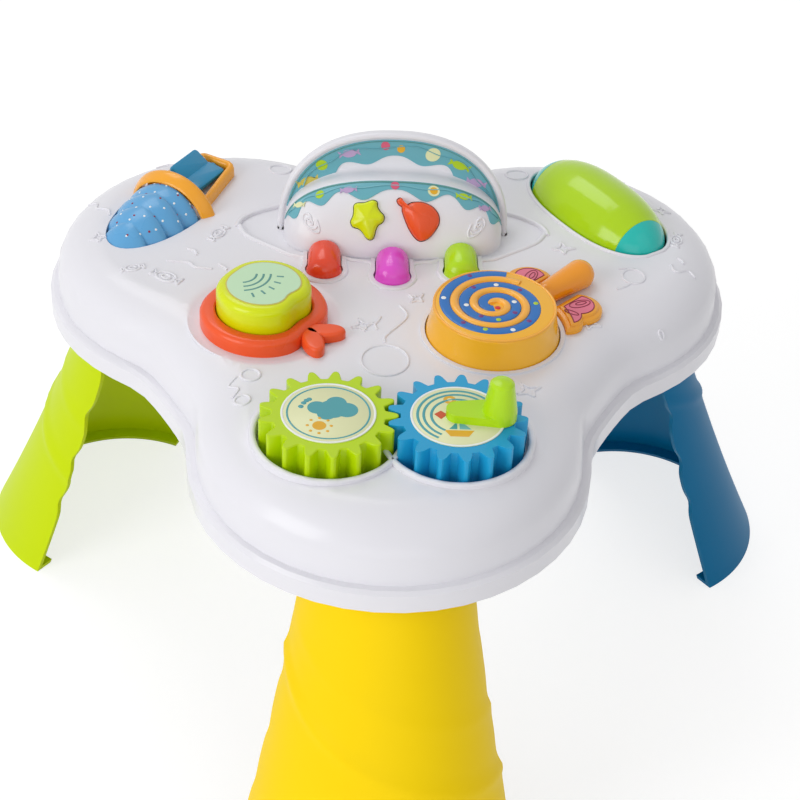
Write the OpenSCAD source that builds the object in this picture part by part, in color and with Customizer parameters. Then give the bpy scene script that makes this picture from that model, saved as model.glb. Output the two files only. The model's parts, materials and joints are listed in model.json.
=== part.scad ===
// Musical activity table for toddlers: a three-lobed tray on three legs, with a cake
// sound panel, piano keys, apple button, lollipop drum, ice cream with a rocker,
// a roller and a pair of meshing gears turned by a crank.
// Millimetres. +Z up, +X to the child's right, the gear lobe points to -Y.
// The origin lies on the floor at the middle of the footprint.

/* [Tray] */
// Floor to the lower edge of the tray's rim
rim_height = 220; // [190:1:250]
// Radius of each lobe at the rim
lobe_radius = 110; // [106:1:116]
// Table axis to the centre of each lobe
lobe_offset = 113; // [108:1:118]
// Table axis to each straight side, at the rim
side_offset = 146; // [142:1:152]
// Rim's lower edge to the deck
tray_height = 48; // [46:1:56]
// Height of the rim band
rim_band = 13; // [9:1:16]
// How far the wall stands in from the rim band
rim_step = 5; // [3:0.5:7]
// Width of the rounded shoulder
shoulder_width = 30; // [20:1:32]
// Height of the rounded shoulder
shoulder_drop = 26; // [16:1:28]
// Thickness of the moulded tray walls
wall = 2.5; // [2:0.1:3]

/* [Base cover] */
// Rim's lower edge to the underside of the base cover
base_recess = 3; // [2:0.5:5]
// Thickness of the base cover
base_thick = 2.5; // [2:0.1:3.5]
// Gap between the base cover and the tray wall
base_gap = 0.5; // [0.3:0.1:1]
// Lobe-wise distance of the case screws from the table axis, outwards
case_screw_out = 92; // [91:0.5:94]
// Sideways distance of the case screws from the lobe's centre line
case_screw_side = 62; // [61:0.5:64]
// Radius of the tray's screw posts
post_radius = 4.5; // [3.8:0.1:6]

/* [Screws] */
// Shank radius of the self-tapping screws
screw_radius = 1.5; // [1.2:0.1:1.8]
// Head radius of the self-tapping screws
screw_head_radius = 3; // [2.5:0.1:3.4]
// Head height of the self-tapping screws
screw_head_height = 1.8; // [1.4:0.1:2.2]
// Length of a case screw under its head
case_screw_length = 14; // [10:1:20]
// Clearance round a screw in its hole
screw_clearance = 0.1; // [0.05:0.05:0.2]

/* [Legs] */
// Table axis to the leg's own axis at the rim
leg_axis = 157.6; // [152:0.2:162]
// Outward tilt of the leg's axis
leg_tilt = 12; // [9:0.5:14]
// Radius of the leg at the rim
leg_radius = 43.4; // [38:0.2:46]
// Gain in radius for each millimetre down the leg
leg_taper = 0.13; // [0.08:0.01:0.16]
// Extra flare towards the foot, radius for each square millimetre down the leg
leg_flare = 0.00028; // [0.0001:0.00001:0.0004]
// Half of the angle that the leg wraps round its axis
leg_wrap = 82; // [70:1:88]
// Thickness of the leg wall
leg_wall = 3; // [2.5:0.1:4]
// Width of the lip turned in at the foot
foot_lip = 9; // [6:0.5:14]
// Thickness of the foot lip
foot_thick = 3; // [2:0.5:5]
// Thickness of the plate that closes the top of the leg
leg_plate = 3; // [2.5:0.5:4]
// Half width of the narrow neck at the top of the leg
neck_half = 40.5; // [36:0.5:42]
// How far the narrow neck reaches below the rim
neck_drop = 20; // [12:1:30]
// Table axis to the line through the two screws of a leg
leg_screw_out = 169.6; // [168:0.2:174]
// Half the distance between the two screws of a leg
leg_screw_half = 24; // [18:1:28]
// Length of a leg screw under its head
leg_screw_length = 12; // [9:1:14]

/* [Gears] */
// Teeth on each gear
gear_teeth = 17; // [15:2:19]
// Half the distance between the gear axes
gear_half = 33.8; // [32:0.1:36]
// Table axis to the line through both gears
gear_front = 140.6; // [136:0.2:146]
// Tooth tip above the pitch circle
gear_addendum = 3; // [2:0.1:3.4]
// Tooth root below the pitch circle
gear_dedendum = 3.8; // [3.2:0.1:4.5]
// Share of the tooth pitch that the tooth fills on the pitch circle
gear_tooth_share = 0.44; // [0.38:0.01:0.46]
// Thickness of the gears
gear_thick = 22; // [16:0.5:24]
// Gear face above the deck
gear_rise = 14; // [10:0.5:16]
// Clearance between a tooth tip and the pocket wall
gear_pocket_gap = 1.4; // [1:0.1:3]
// Collar above the deck round the gear pockets
gear_collar = 1.5; // [1:0.1:3]
// Radius of the shoulder screws that carry the gears
gear_pin_radius = 3; // [2.5:0.1:4]
// Running clearance on shafts and pins
run_gap = 0.06; // [0.03:0.01:0.09]
// Radius of the label on each gear
gear_label_radius = 25; // [22:0.5:26]
// Thickness of the printed labels
label_thick = 0.5; // [0.3:0.1:0.8]

/* [Crank] */
// Gear axis to the crank's knob
crank_throw = 21.5; // [19:0.5:24]
// Radius of the crank's hub
crank_hub = 6.5; // [6:0.1:8]
// Radius of the crank's knob end
crank_end = 9.2; // [8:0.1:10]
// Thickness of the crank arm
crank_arm = 5; // [4:0.5:7]
// Height of the knob above the arm
knob_height = 19; // [14:0.5:24]
// Radius of the knob's top
knob_top = 6; // [5:0.1:7]

/* [Cake] */
// Sideways place of the cake's middle
cake_x = 1.5; // [-4:0.5:4]
// Table axis to the widest line of the cake
cake_y = 60; // [58:0.5:64]
// Half width of the lower tier
lower_half = 66.5; // [62:0.5:68]
// Front depth of the lower tier
lower_depth = 32; // [29:0.5:33]
// Height of the lower tier
lower_height = 38; // [34:0.5:42]
// Half width of the upper tier
upper_half = 70.5; // [69:0.5:74]
// Height of the upper tier above the deck
upper_height = 60; // [56:0.5:66]
// Backward lean of the upper tier's front
upper_lean = 11; // [6:0.5:14]
// Front of the lean to the flat back of the cake
cake_back = 36; // [32:0.5:42]
// Width of the icing bands
icing_width = 11; // [8:0.5:13]
// Number of drips on the icing
drips = 5; // [3:1:8]

/* [Buttons] */
// Mean radius of the star button
star_radius = 10.6; // [9:0.1:12]
// Mean radius of the balloon button
balloon_radius = 12; // [10:0.1:13]
// How far the cake buttons stand out of the cake
face_rise = 4; // [3:0.5:5]
// Travel of the star and balloon buttons
face_travel = 2; // [1:0.1:2.5]
// Gap round a moving button
button_gap = 0.5; // [0.4:0.05:0.8]
// Travel of the piano keys
key_travel = 3; // [2:0.1:3.5]
// Radius of the piano keys
key_radius = 9.8; // [8.5:0.1:10.5]
// Length of the piano keys
key_length = 28; // [25:0.5:30]
// Travel of the apple button, lollipop drum and scoop
pad_travel = 3; // [2:0.1:3.5]

/* [Apple] */
// Sideways place of the apple, to the left
apple_left = 72.5; // [70:0.5:76]
// Table axis to the apple's middle, to the front
apple_front = 36; // [33:0.5:39]
// Radius of the apple's base
apple_radius = 36.5; // [35:0.5:38]
// Radius of the apple button
apple_button_radius = 27; // [25:0.5:28]
// Apple base above the deck
apple_rise = 8; // [6:0.5:10]
// Apple button above its base
apple_button_rise = 15; // [11:0.5:17]
// Depth of the dish round the apple
dish_depth = 2; // [1:0.5:3]

/* [Lollipop] */
// Sideways place of the lollipop
lolly_right = 57.6; // [55:0.2:60]
// Table axis to the lollipop's middle, to the front
lolly_front = 44.5; // [42:0.5:46]
// Radius of the drum at the deck
lolly_radius = 38.2; // [36:0.2:39]
// Radius of the drum's top face
lolly_top = 34.8; // [33:0.2:35.5]
// Drum above the deck
lolly_rise = 19; // [15:0.5:21]
// Width of the blue spiral
swirl_width = 5.2; // [4:0.1:5.8]
// Step of the spiral from turn to turn
swirl_pitch = 11; // [10:0.2:12]
// Bearing of the stick
stick_angle = 44; // [42:1:46]
// Drum's middle to the round end of the stick
stick_reach = 74; // [70:0.5:76]
// Radius of the stick's round end
stick_end = 9; // [8:0.2:10]
// Radius of the stick beside the drum
stick_root = 6.5; // [5.5:0.1:7.5]

/* [Ice cream] */
// Sideways place of the ice cream, to the left
ice_left = 130.5; // [129:0.5:131]
// Table axis to the ice cream, to the back
ice_back = 91.5; // [90:0.5:93]
// Radius of the scoop beside the cone
scoop_radius = 27.5; // [26.5:0.5:29]
// Length of the scoop's rounded form along its axis
scoop_long = 60; // [55:1:62]
// Depth of the scoop's axis below the deck
scoop_sink = 12; // [10:0.5:14]
// Length of the cone frame
cone_length = 42; // [39:0.5:44]
// Half width of the cone frame beside the scoop
cone_wide = 22.5; // [21:0.5:25]
// Half width of the cone frame at its far end
cone_narrow = 13.5; // [12.5:0.5:16]
// Cone frame above the deck
cone_rise = 7; // [6:0.5:9]
// Width of the cone frame's bars
cone_bar = 5; // [4:0.2:6]
// Angle between the rocker's wings and a flat plate, both wings together
rocker_vee = 26; // [20:1:30]
// Thickness of the rocker's wings
rocker_thick = 4; // [3:0.2:5]
// Radius of the rocker's pin
rocker_pin_radius = 1.5; // [1.2:0.1:2]

/* [Roller] */
// Sideways place of the roller
roller_right = 130.2; // [129:0.2:131]
// Table axis to the roller, to the back
roller_back = 89; // [87:0.5:90]
// Bearing of the roller's axis
roller_angle = -57; // [-59:1:-56]
// Largest radius of the roller
roller_radius = 27.6; // [26:0.1:28]
// Half length of the roller
roller_half = 55.4; // [54:0.2:56]
// Half length of the roller's barrel between its caps
barrel_half = 41.5; // [38:0.5:42]
// Depth of the roller's axis below the deck
roller_sink = 5; // [5:0.5:6]
// Gap round the roller
roller_gap = 1.2; // [1:0.1:2]
// Thickness of the roller's wall
roller_wall = 2.5; // [2:0.1:3]
// Angle of the barrel that the green shell covers
roller_green = 240; // [200:5:280]
// Radius of the roller's axle
axle_radius = 2; // [1.6:0.1:2.4]

/* [Electrics] */
// Base cover's underside to the main board
board_lift = 23; // [22:0.5:24]
// Thickness of the circuit boards
board_thick = 1.6; // [1:0.1:2]
// Radius of a battery cell
cell_radius = 7.2; // [7:0.1:7.3]
// Length of a battery cell
cell_length = 50.5; // [49:0.5:51]
// Number of battery cells
cells = 3; // [2:1:3]
// Radius of the speaker
speaker_radius = 20; // [16:0.5:22]
// Height of the speaker
speaker_height = 14; // [10:0.5:16]
// Travel of the power switch
switch_travel = 5; // [4:0.5:7]

/* [Hidden] */

// ---- shared places, all measured from the table's axis and the rim's lower edge ----

LOBES = [-90, 30, 150];
SIDES = [1, -1];
RING = 90;
deck = tray_height;
deck_under = deck - wall;
base_top = base_recess + base_thick;
core_radius = lobe_offset + lobe_radius / 2;
fillet = 8;
far = 400;
lip_width = 2.4;
lip_height = 1.2;
flange = 2;
flange_gap = 0.5;
stem_radius = 4;
stem_gap = 0.3;
dome_height = 4;
dome_radius = 5;
label_gap = 0.3;

// Distance from the table's axis to the tray's edge, seen from above at angle t,
// for an edge that stands e inside the rim: three lobes blended with straight sides.
function lobe_exit(d, rho) = lobe_offset * cos(d)
    + sqrt(max(rho * rho - pow(lobe_offset * sin(d), 2), 0));
function side_exit(d, e) = min((side_offset - e) / cos(60 - d), core_radius - e);
function soft_max(a, b, k) = (a + b + sqrt((a - b) * (a - b) + k * k)) / 2;
function from_lobe(t) = let (m = (t + 3690) % 120) m > 60 ? 120 - m : m;
function edge(t, e) = let (d = from_lobe(t))
    soft_max(lobe_exit(d, lobe_radius - e), side_exit(d, e), fillet);
function edge_points(e) = [for (k = [0:RING - 1]) let (t = 360 * k / RING) edge(t, e) * [cos(t), sin(t)]];

// Levels of the tray's skin: [inset, height]. They start below the rim and end above the deck,
// where tray_body trims them with flat cuts.
SKIN = concat(
    [[0, -1], [0, rim_band - 2], [2, rim_band], [rim_step, rim_band + 0.5]],
    [for (k = [1:5]) let (t = 15 * k)
        [rim_step + shoulder_width * (1 - cos(t)), tray_height - shoulder_drop + shoulder_drop * sin(t)]],
    [[rim_step + shoulder_width, tray_height + 0.2]]);

// Outward reach of a leg at the floor, at angle phi round its axis.
function leg_r(h) = leg_radius + leg_taper * h + leg_flare * h * h;
function leg_down(phi, h, turns) = turns == 0 ? h
    : leg_down(phi, (rim_height + leg_r(h) * cos(phi) * sin(leg_tilt)) / cos(leg_tilt), turns - 1);
function foot_point(phi) = let (h = leg_down(phi, rim_height, 20))
    [leg_axis + h * sin(leg_tilt) + leg_r(h) * cos(phi) * cos(leg_tilt), leg_r(h) * sin(phi)];
FOOT = [for (phi = [0:1:floor(leg_wrap)]) foot_point(phi)];
reach_front = max([for (p = FOOT) p[0]]);
reach_back = max([for (p = FOOT) p[0] * sin(30) + p[1] * cos(30)]);
axis_shift = (reach_front - reach_back) / 2;

gear_low = deck + gear_rise - gear_thick;
gear_high = deck + gear_rise;
gear_tip = gear_half + gear_addendum;
gear_root = gear_half - gear_dedendum;
pocket_floor = gear_low - 2;
pin_head = gear_pin_radius + 2.5;
board_low = base_recess + board_lift;
board_high = board_low + board_thick;
stem_low = board_high + dome_height + stem_gap;
plate_depth = 1.2;
cake_floor = deck - plate_depth;
lower_centre = (lower_half * lower_half - lower_height * lower_height) / (2 * lower_height);
roller_axis = deck - roller_sink;
rocker_axis = deck + 3.5;
rocker_barrel = rocker_pin_radius + 1.6;
scoop_back = 14;

module tray_frame() {
    translate([0, axis_shift, rim_height]) children();
}

// ---- outlines ----

// Cake's lower tier: radius of its skin, s in front of its widest line.
function lower_r(s, in) = let (a = lower_half - in, u = max(s, 0) / (lower_depth - in))
    sqrt(pow(lower_centre, 2) + pow(a, 2) * max(1 - u * u, 0));
function oval(t, a, b, n) = [a * sign(cos(t)) * pow(abs(cos(t)), 2 / n), b * sign(sin(t)) * pow(abs(sin(t)), 2 / n)];

// Roller: radius of the skin, s along the axis from the widest place.
function roller_r(s) = roller_radius * sqrt(max(1 - pow(abs(s) / roller_half, 2.6), 0));
function chord(r, sink) = sqrt(max(r * r - sink * sink, 0));
scoop_foot = chord(scoop_radius, scoop_sink);
scoop_tip = scoop_long * scoop_foot / scoop_radius;

function apple_r(t, r) = r * (1 - 0.13 * exp(-pow((t + 35) / 20, 2)) - 0.05 * exp(-pow((t - 145) / 24, 2)));
module apple_shape(r, grow) {
    polygon([for (t = [-180:5:175]) (apple_r(t, r) + grow) * [cos(t), sin(t)]]);
}
module star_shape(grow) {
    polygon([for (t = [0:5:355]) (star_radius * (1 + 0.16 * cos(5 * (t + 90))) + grow) * [cos(t), sin(t)]]);
}
module balloon_shape(grow) {
    polygon([for (t = [0:5:355]) let (k = exp(-pow((((t + 225) % 360) - 180) / 16, 2)))
        (balloon_radius * (1 + 0.12 * cos(t - 315) + 0.28 * k) + grow) * [cos(t), sin(t)]]);
}
key_bulb = key_radius + 1;
key_front = key_bulb - key_length / 2;
module key_shape(grow) {
    r = key_bulb + grow;
    polygon(concat(
        [[key_radius + grow, key_length / 2 + grow], [-key_radius - grow, key_length / 2 + grow]],
        [[-key_radius - grow, key_front + 4]],
        [for (t = [180:10:360]) [r * cos(t), key_front + r * sin(t)]],
        [[key_radius + grow, key_front + 4]]));
}
module scoop_shape(grow) {
    polygon([for (t = [-90:7.5:90])
        [grow - scoop_back - (scoop_tip + 2 * grow) * cos(t), (scoop_foot + grow) * sin(t)]]);
}
module roller_shape(grow) {
    reach = [for (k = [-20:20]) let (s = roller_half * 0.98 * sin(k * 4.5)) [s, chord(roller_r(s), roller_sink)]];
    polygon(concat(
        [for (p = reach) [p[0] + grow * p[0] / roller_half, p[1] + grow]],
        [for (k = [len(reach) - 1:-1:0]) [reach[k][0] * (1 + grow / roller_half), -reach[k][1] - grow]]));
}
// One flank of a tooth from root to tip: [radius, share of the tooth's half angle].
TOOTH_FLANK = [[gear_root, 1.5], [gear_half - 1.5, 1.15], [gear_half + 1, 0.8], [gear_tip - 0.6, 0.5],
    [gear_tip, 0.22]];
module gear_shape() {
    pitch = 360 / gear_teeth;
    half = pitch * gear_tooth_share / 2;
    last = len(TOOTH_FLANK) - 1;
    tooth = concat([for (p = TOOTH_FLANK) [p[0], -half * p[1]]],
        [for (k = [last:-1:0]) [TOOTH_FLANK[k][0], half * TOOTH_FLANK[k][1]]]);
    polygon([for (k = [0:gear_teeth - 1]) for (p = tooth)
        p[0] * [cos(k * pitch + p[1]), sin(k * pitch + p[1])]]);
}

// ---- places on the tray ----

KEY_X = [-39.5, 1, 42];
KEY_Y = [17, 12, 18.5];
module at_apple() { translate([-apple_left, -apple_front, 0]) children(); }
module at_lolly() { translate([lolly_right, -lolly_front, 0]) children(); }
module at_stick() { at_lolly() rotate(stick_angle) children(); }
module at_ice() { translate([-ice_left, ice_back, 0]) rotate(60) children(); }
module at_roller() { translate([roller_right, roller_back, 0]) rotate(roller_angle) children(); }
module on_roller_axis() { at_roller() translate([0, 0, roller_axis]) rotate([0, 90, 0]) children(); }
module at_gear(side) { translate([side * gear_half, -gear_front, 0]) children(); }
module at_key(k) { translate([KEY_X[k], KEY_Y[k], 0]) children(); }
module at_corners(out, side) {
    for (a = LOBES)
        for (s = SIDES)
            rotate(a) translate([out, s * side, 0]) children();
}

// On the skin of the cake's lower tier, psi sideways, with +Z standing out of it.
face_s = 20.5;
face_slope = atan((lower_r(face_s - 0.5, 0) - lower_r(face_s + 0.5, 0)) / 1);
STAR_PSI = -14.5;
BALLOON_PSI = 14.5;
module on_face(psi) {
    translate([cake_x, cake_y - face_s, deck - lower_centre])
        rotate([0, psi, 0]) translate([0, 0, lower_r(face_s, 0)]) rotate([face_slope, 0, 0]) children();
}

// ---- tray ----

// Closed body of the tray, standing w inside its outer skin.
module tray_body(w) {
    levels = [for (p = SKIN) [p[0] + w, p[1] - w]];
    count = len(levels);
    points = [for (p = levels) each [for (q = edge_points(p[0])) [q[0], q[1], p[1]]]];
    walls = [for (j = [0:count - 2]) for (k = [0:RING - 1]) let (m = (k + 1) % RING)
        [(j + 1) * RING + k, (j + 1) * RING + m, j * RING + m, j * RING + k]];
    intersection() {
        polyhedron(points, concat(walls, [[for (k = [0:RING - 1]) k]],
            [[for (k = [RING - 1:-1:0]) (count - 1) * RING + k]]));
        centred_box(2 * far, 2 * far, w > 0 ? -far : 0, deck - w);
    }
}

// Posts end inside the thickness of the deck.
post_top = deck_under + 0.5;
scoop_post_side = 34.5;
scoop_post_top = deck_under + 0.4;
scoop_post_radius = 3;
scoop_pin_radius = 0.9;
scoop_stem = 34;
module at_scoop_posts() {
    at_ice()
        for (s = SIDES) translate([-scoop_stem, s * scoop_post_side, 0]) children();
}

module screw_post(low, high, r) {
    difference() {
        translate([0, 0, low]) cylinder(h = high - low, r = r, $fn = 32);
        translate([0, 0, low - 1]) cylinder(h = high - low - 1, r = screw_radius + screw_clearance, $fn = 24);
    }
}

module gear_seats() {
    for (s = SIDES) at_gear(s) {
        translate([0, 0, pocket_floor - wall])
            cylinder(h = deck + gear_collar - pocket_floor + wall, r = gear_tip + gear_pocket_gap + 3.5, $fn = 72);
        translate([0, 0, pocket_floor - 12]) cylinder(h = 12, r = gear_pin_radius + 3, $fn = 32);
    }
}
module gear_pockets() {
    for (s = SIDES) at_gear(s)
        translate([0, 0, pocket_floor]) cylinder(h = far, r = gear_tip + gear_pocket_gap, $fn = 72);
}
module gear_bosses() {
    for (s = SIDES) at_gear(s) difference() {
        translate([0, 0, pocket_floor - 1]) cylinder(h = gear_low - pocket_floor + 1 - label_gap, r = 7, $fn = 32);
        translate([0, 0, pocket_floor - 2]) cylinder(h = 10, r = gear_pin_radius + run_gap, $fn = 32);
    }
}

module cake_plate(in, low, high) {
    translate([cake_x, cake_y, low]) linear_extrude(high - low)
        polygon([for (t = [0:10:350]) oval(t, lower_half + 27 - in, lower_depth + 2 - in, 2)]);
}

module top_shell() {
    color("white") tray_frame() {
        difference() {
            union() {
                difference() {
                    tray_body(0);
                    tray_body(wall);
                }
                gear_seats();
                at_apple() translate([0, 0, deck_under - dish_depth])
                    cylinder(h = wall + dish_depth - 0.5, r = apple_radius + 7, $fn = 64);
                cake_plate(-2, deck_under - plate_depth, deck - 0.5);
                at_lolly() translate([0, 0, deck - 1])
                    cylinder(h = 1 + lip_height, r = lolly_radius + button_gap + lip_width, $fn = 72);
                for (k = [0:2]) at_key(k) translate([0, 0, deck - 1])
                    linear_extrude(1 + lip_height) key_shape(button_gap + lip_width);
                at_corners(case_screw_out, case_screw_side) translate([0, 0, base_top])
                    cylinder(h = post_top - base_top, r = post_radius, $fn = 32);
                at_scoop_posts() {
                    translate([0, 0, board_high])
                        cylinder(h = scoop_post_top - board_high, r = scoop_post_radius, $fn = 24);
                    translate([0, 0, board_low - 0.5])
                        cylinder(h = board_thick + 1, r = scoop_pin_radius, $fn = 24);
                }
            }
            at_corners(case_screw_out, case_screw_side) translate([0, 0, base_top - 1])
                cylinder(h = case_screw_length, r = screw_radius + screw_clearance, $fn = 24);
            cake_plate(0, cake_floor, deck + far);
            for (k = [0:2]) at_key(k) translate([0, 0, deck - 8]) linear_extrude(far) key_shape(button_gap);
            gear_pockets();
            for (s = SIDES) at_gear(s) translate([0, 0, pocket_floor - 11])
                cylinder(h = 12, r = gear_pin_radius + run_gap, $fn = 32);
            at_lolly() translate([0, 0, deck - 8]) cylinder(h = far, r = lolly_radius + button_gap, $fn = 72);
            at_apple() {
                translate([0, 0, deck - 8]) linear_extrude(far) apple_shape(apple_button_radius, button_gap);
                translate([0, 0, deck - dish_depth]) cylinder(h = dish_depth + 0.01, r1 = apple_radius + 2,
                    r2 = apple_radius + 10, $fn = 72);
            }
            at_ice() translate([0, 0, deck - 8]) linear_extrude(far) scoop_shape(button_gap);
            at_roller() translate([0, 0, deck - 8]) linear_extrude(far) roller_shape(roller_gap);
            for (s = SIDES) translate([cake_x + s * cake_post_side, cake_post_y, deck - 8])
                cylinder(h = far, r = screw_radius + screw_clearance, $fn = 24);
            translate([cake_x, cake_post_y, deck - 8]) cylinder(h = far, r = 6, $fn = 32);
        }
        gear_bosses();
    }
}

// ---- base cover and what it carries ----

cell_pitch = 2 * cell_radius + 0.6;
box_x = cells * cell_pitch + 2;
box_y = cell_length + 5;
ledge = 6;
door_thick = 2.3;
door_y = box_y + 2 * ledge;
door_screw_y = (box_y + ledge) / 2 - 0.3;
box_wall = 2;
box_high = base_top + 2 * cell_radius + 1.5;
door_gap = 0.3;
speaker_y = -box_y / 2 - ledge - box_wall - speaker_radius - 6;
BOARD = [[-98, -62], [86, 38]];
BOARD_POSTS = [[-92, -56], [-92, 32], [80, -56], [80, 32]];
switch_x = 58;
switch_y = -4;

module centred_box(x, y, low, high) {
    translate([-x / 2, -y / 2, low]) cube([x, y, high - low]);
}

module base_cover() {
    color("gainsboro") tray_frame() difference() {
        union() {
            translate([0, 0, base_recess]) linear_extrude(base_thick) polygon(edge_points(wall + base_gap));
            centred_box(box_x + 2 * box_wall, door_y + 2 * box_wall, base_recess, box_high + box_wall);
            translate([0, speaker_y, base_top - 1]) difference() {
                cylinder(h = 7, r = speaker_radius + 2.5, $fn = 48);
                translate([0, 0, -1]) cylinder(h = 9, r = speaker_radius + 0.1, $fn = 48);
            }
            for (p = BOARD_POSTS) translate([p[0], p[1], board_low]) mirror([0, 0, 1])
                screw_post(0, board_low - base_top + 1, 3.5);
            at_corners(leg_screw_out, leg_screw_half) translate([0, 0, base_top - 1])
                cylinder(h = leg_screw_length - leg_plate, r = 4, $fn = 32);
        }
        centred_box(box_x, box_y, base_recess - 1, box_high);
        centred_box(box_x + 2 * door_gap, door_y, base_recess - 1, base_recess + door_thick + 0.2);
        for (s = SIDES) translate([0, s * door_screw_y, base_recess])
            cylinder(h = 12, r = screw_radius + screw_clearance, $fn = 24);
        for (k = [-2:2]) translate([0, speaker_y + 6 * k, 0])
            centred_box(2 * sqrt(pow(speaker_radius - 3, 2) - 36 * k * k), 2, base_recess - 1, base_top + 1);
        at_corners(case_screw_out, case_screw_side) translate([0, 0, base_recess - 1])
            cylinder(h = base_thick + 2, r = screw_radius + screw_clearance, $fn = 24);
        at_corners(leg_screw_out, leg_screw_half) translate([0, 0, base_recess - 1])
            cylinder(h = leg_screw_length - 1, r = screw_radius + screw_clearance, $fn = 24);
        translate([switch_x, switch_y, 0]) centred_box(5, 5 + switch_travel + 1, base_recess - 1, base_top + 1);
    }
}

module screw(length) {
    rotate_extrude($fn = 24) polygon([[0, -screw_head_height], [screw_head_radius, -screw_head_height],
        [screw_head_radius, 0], [screw_radius, 0], [screw_radius, length - 2], [0, length]]);
}

module case_screws() {
    color("silver") tray_frame() at_corners(case_screw_out, case_screw_side)
        translate([0, 0, base_recess]) screw(case_screw_length);
}
module leg_screws() {
    color("silver") tray_frame() at_corners(leg_screw_out, leg_screw_half)
        translate([0, 0, base_recess - leg_plate]) screw(leg_screw_length - 1);
}
module battery_door() {
    color("gainsboro") tray_frame() difference() {
        centred_box(box_x, door_y - 2 * door_gap, base_recess + 0.2, base_recess + 0.2 + door_thick);
        for (s = SIDES) translate([0, s * door_screw_y, base_recess - 1])
            cylinder(h = 5, r = screw_radius + screw_clearance, $fn = 24);
    }
}
module battery_door_screw() {
    color("silver") tray_frame() for (s = SIDES) translate([0, s * door_screw_y, base_recess + 0.2]) screw(9);
}
cell_axis = base_recess + 0.2 + door_thick + cell_radius;
function cell_x(k) = (k - (cells - 1) / 2) * cell_pitch;
module batteries() {
    color("dimgray") tray_frame() for (k = [0:cells - 1])
        translate([cell_x(k), 0, cell_axis]) rotate([k % 2 == 0 ? 90 : -90, 0, 0]) {
            translate([0, 0, -cell_length / 2]) cylinder(h = cell_length - 1.5, r = cell_radius, $fn = 32);
            translate([0, 0, cell_length / 2 - 2]) cylinder(h = 2, r = 2.6, $fn = 24);
        }
}
module battery_contacts() {
    color("silver") tray_frame() for (k = [0:cells - 1]) for (s = SIDES)
        translate([cell_x(k), s * (box_y / 2 - 1.2), 0])
            centred_box(9, 2.1, cell_axis - 5, cell_axis + 5);
}
module main_board() {
    color("darkgreen") tray_frame() difference() {
        translate([BOARD[0][0], BOARD[0][1], board_low])
            cube([BOARD[1][0] - BOARD[0][0], BOARD[1][1] - BOARD[0][1], board_thick]);
        for (p = BOARD_POSTS) translate([p[0], p[1], board_low - 1])
            cylinder(h = 4, r = screw_radius + screw_clearance, $fn = 24);
    }
}
module board_screws() {
    color("silver") tray_frame() for (p = BOARD_POSTS)
        translate([p[0], p[1], board_high]) mirror([0, 0, 1]) screw(8);
}
module speaker() {
    color("black") tray_frame() translate([0, speaker_y, base_top]) union() {
        cylinder(h = 5, r = speaker_radius, $fn = 48);
        translate([0, 0, 4]) cylinder(h = 4, r1 = speaker_radius - 2, r2 = speaker_radius / 2, $fn = 48);
        translate([0, 0, 7]) cylinder(h = speaker_height - 7, r = speaker_radius * 0.6, $fn = 48);
    }
}
module power_switch() {
    color("dimgray") tray_frame() translate([switch_x, switch_y, 0]) difference() {
        centred_box(9, 16 + switch_travel, base_top, base_top + 7);
        centred_box(6, 12.5 + switch_travel, base_top - 1, base_top + 4.5);
    }
}
module power_switch_knob() {
    color("darkslategray") tray_frame() translate([switch_x, switch_y - switch_travel / 2, 0]) union() {
        centred_box(4, 4, base_recess - 1.5, base_top + 1);
        centred_box(5.2, 11, base_top + 0.3, base_top + 4);
    }
}

// ---- legs ----

// Wall of a leg between a and b inside its outer skin; b under 0 fills it to the axis.
module leg_wall_form(a, b) {
    rotate([0, -leg_tilt, 0]) rotate(-leg_wrap) rotate_extrude(angle = 2 * leg_wrap, $fn = 96)
        polygon(concat([for (h = [-20:15:295]) [leg_r(h) - a, -h]],
                       [for (h = [295:-15:-20]) [b < 0 ? 0 : leg_r(h) - b, -h]]));
}
module slab(low, high) {
    translate([-far / 2, -far / 2, low]) cube([2 * far, far, high - low]);
}
module leg(angle) {
    tray_frame() rotate(angle) difference() {
        translate([leg_axis, 0, 0]) union() {
            intersection() {
                leg_wall_form(0, leg_wall);
                slab(-rim_height, base_recess);
            }
            intersection() {
                leg_wall_form(0, -1);
                slab(base_recess - leg_plate, base_recess);
            }
            intersection() {
                leg_wall_form(0, leg_wall + foot_lip);
                slab(-rim_height, foot_thick - rim_height);
            }
        }
        for (s = SIDES) {
            translate([0, s * (neck_half + far / 2), base_recess])
                centred_box(4 * far, far, -neck_drop - base_recess, 1);
            translate([leg_screw_out, s * leg_screw_half, -leg_plate]) cylinder(h = far,
                r = screw_radius + screw_clearance, $fn = 24);
        }
    }
}
module leg_front() { color("gold") leg(LOBES[0]); }
module leg_right() { color("#006491") leg(LOBES[1]); }
module leg_left() { color("#c8dc00") leg(LOBES[2]); }

// ---- cake ----

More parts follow.
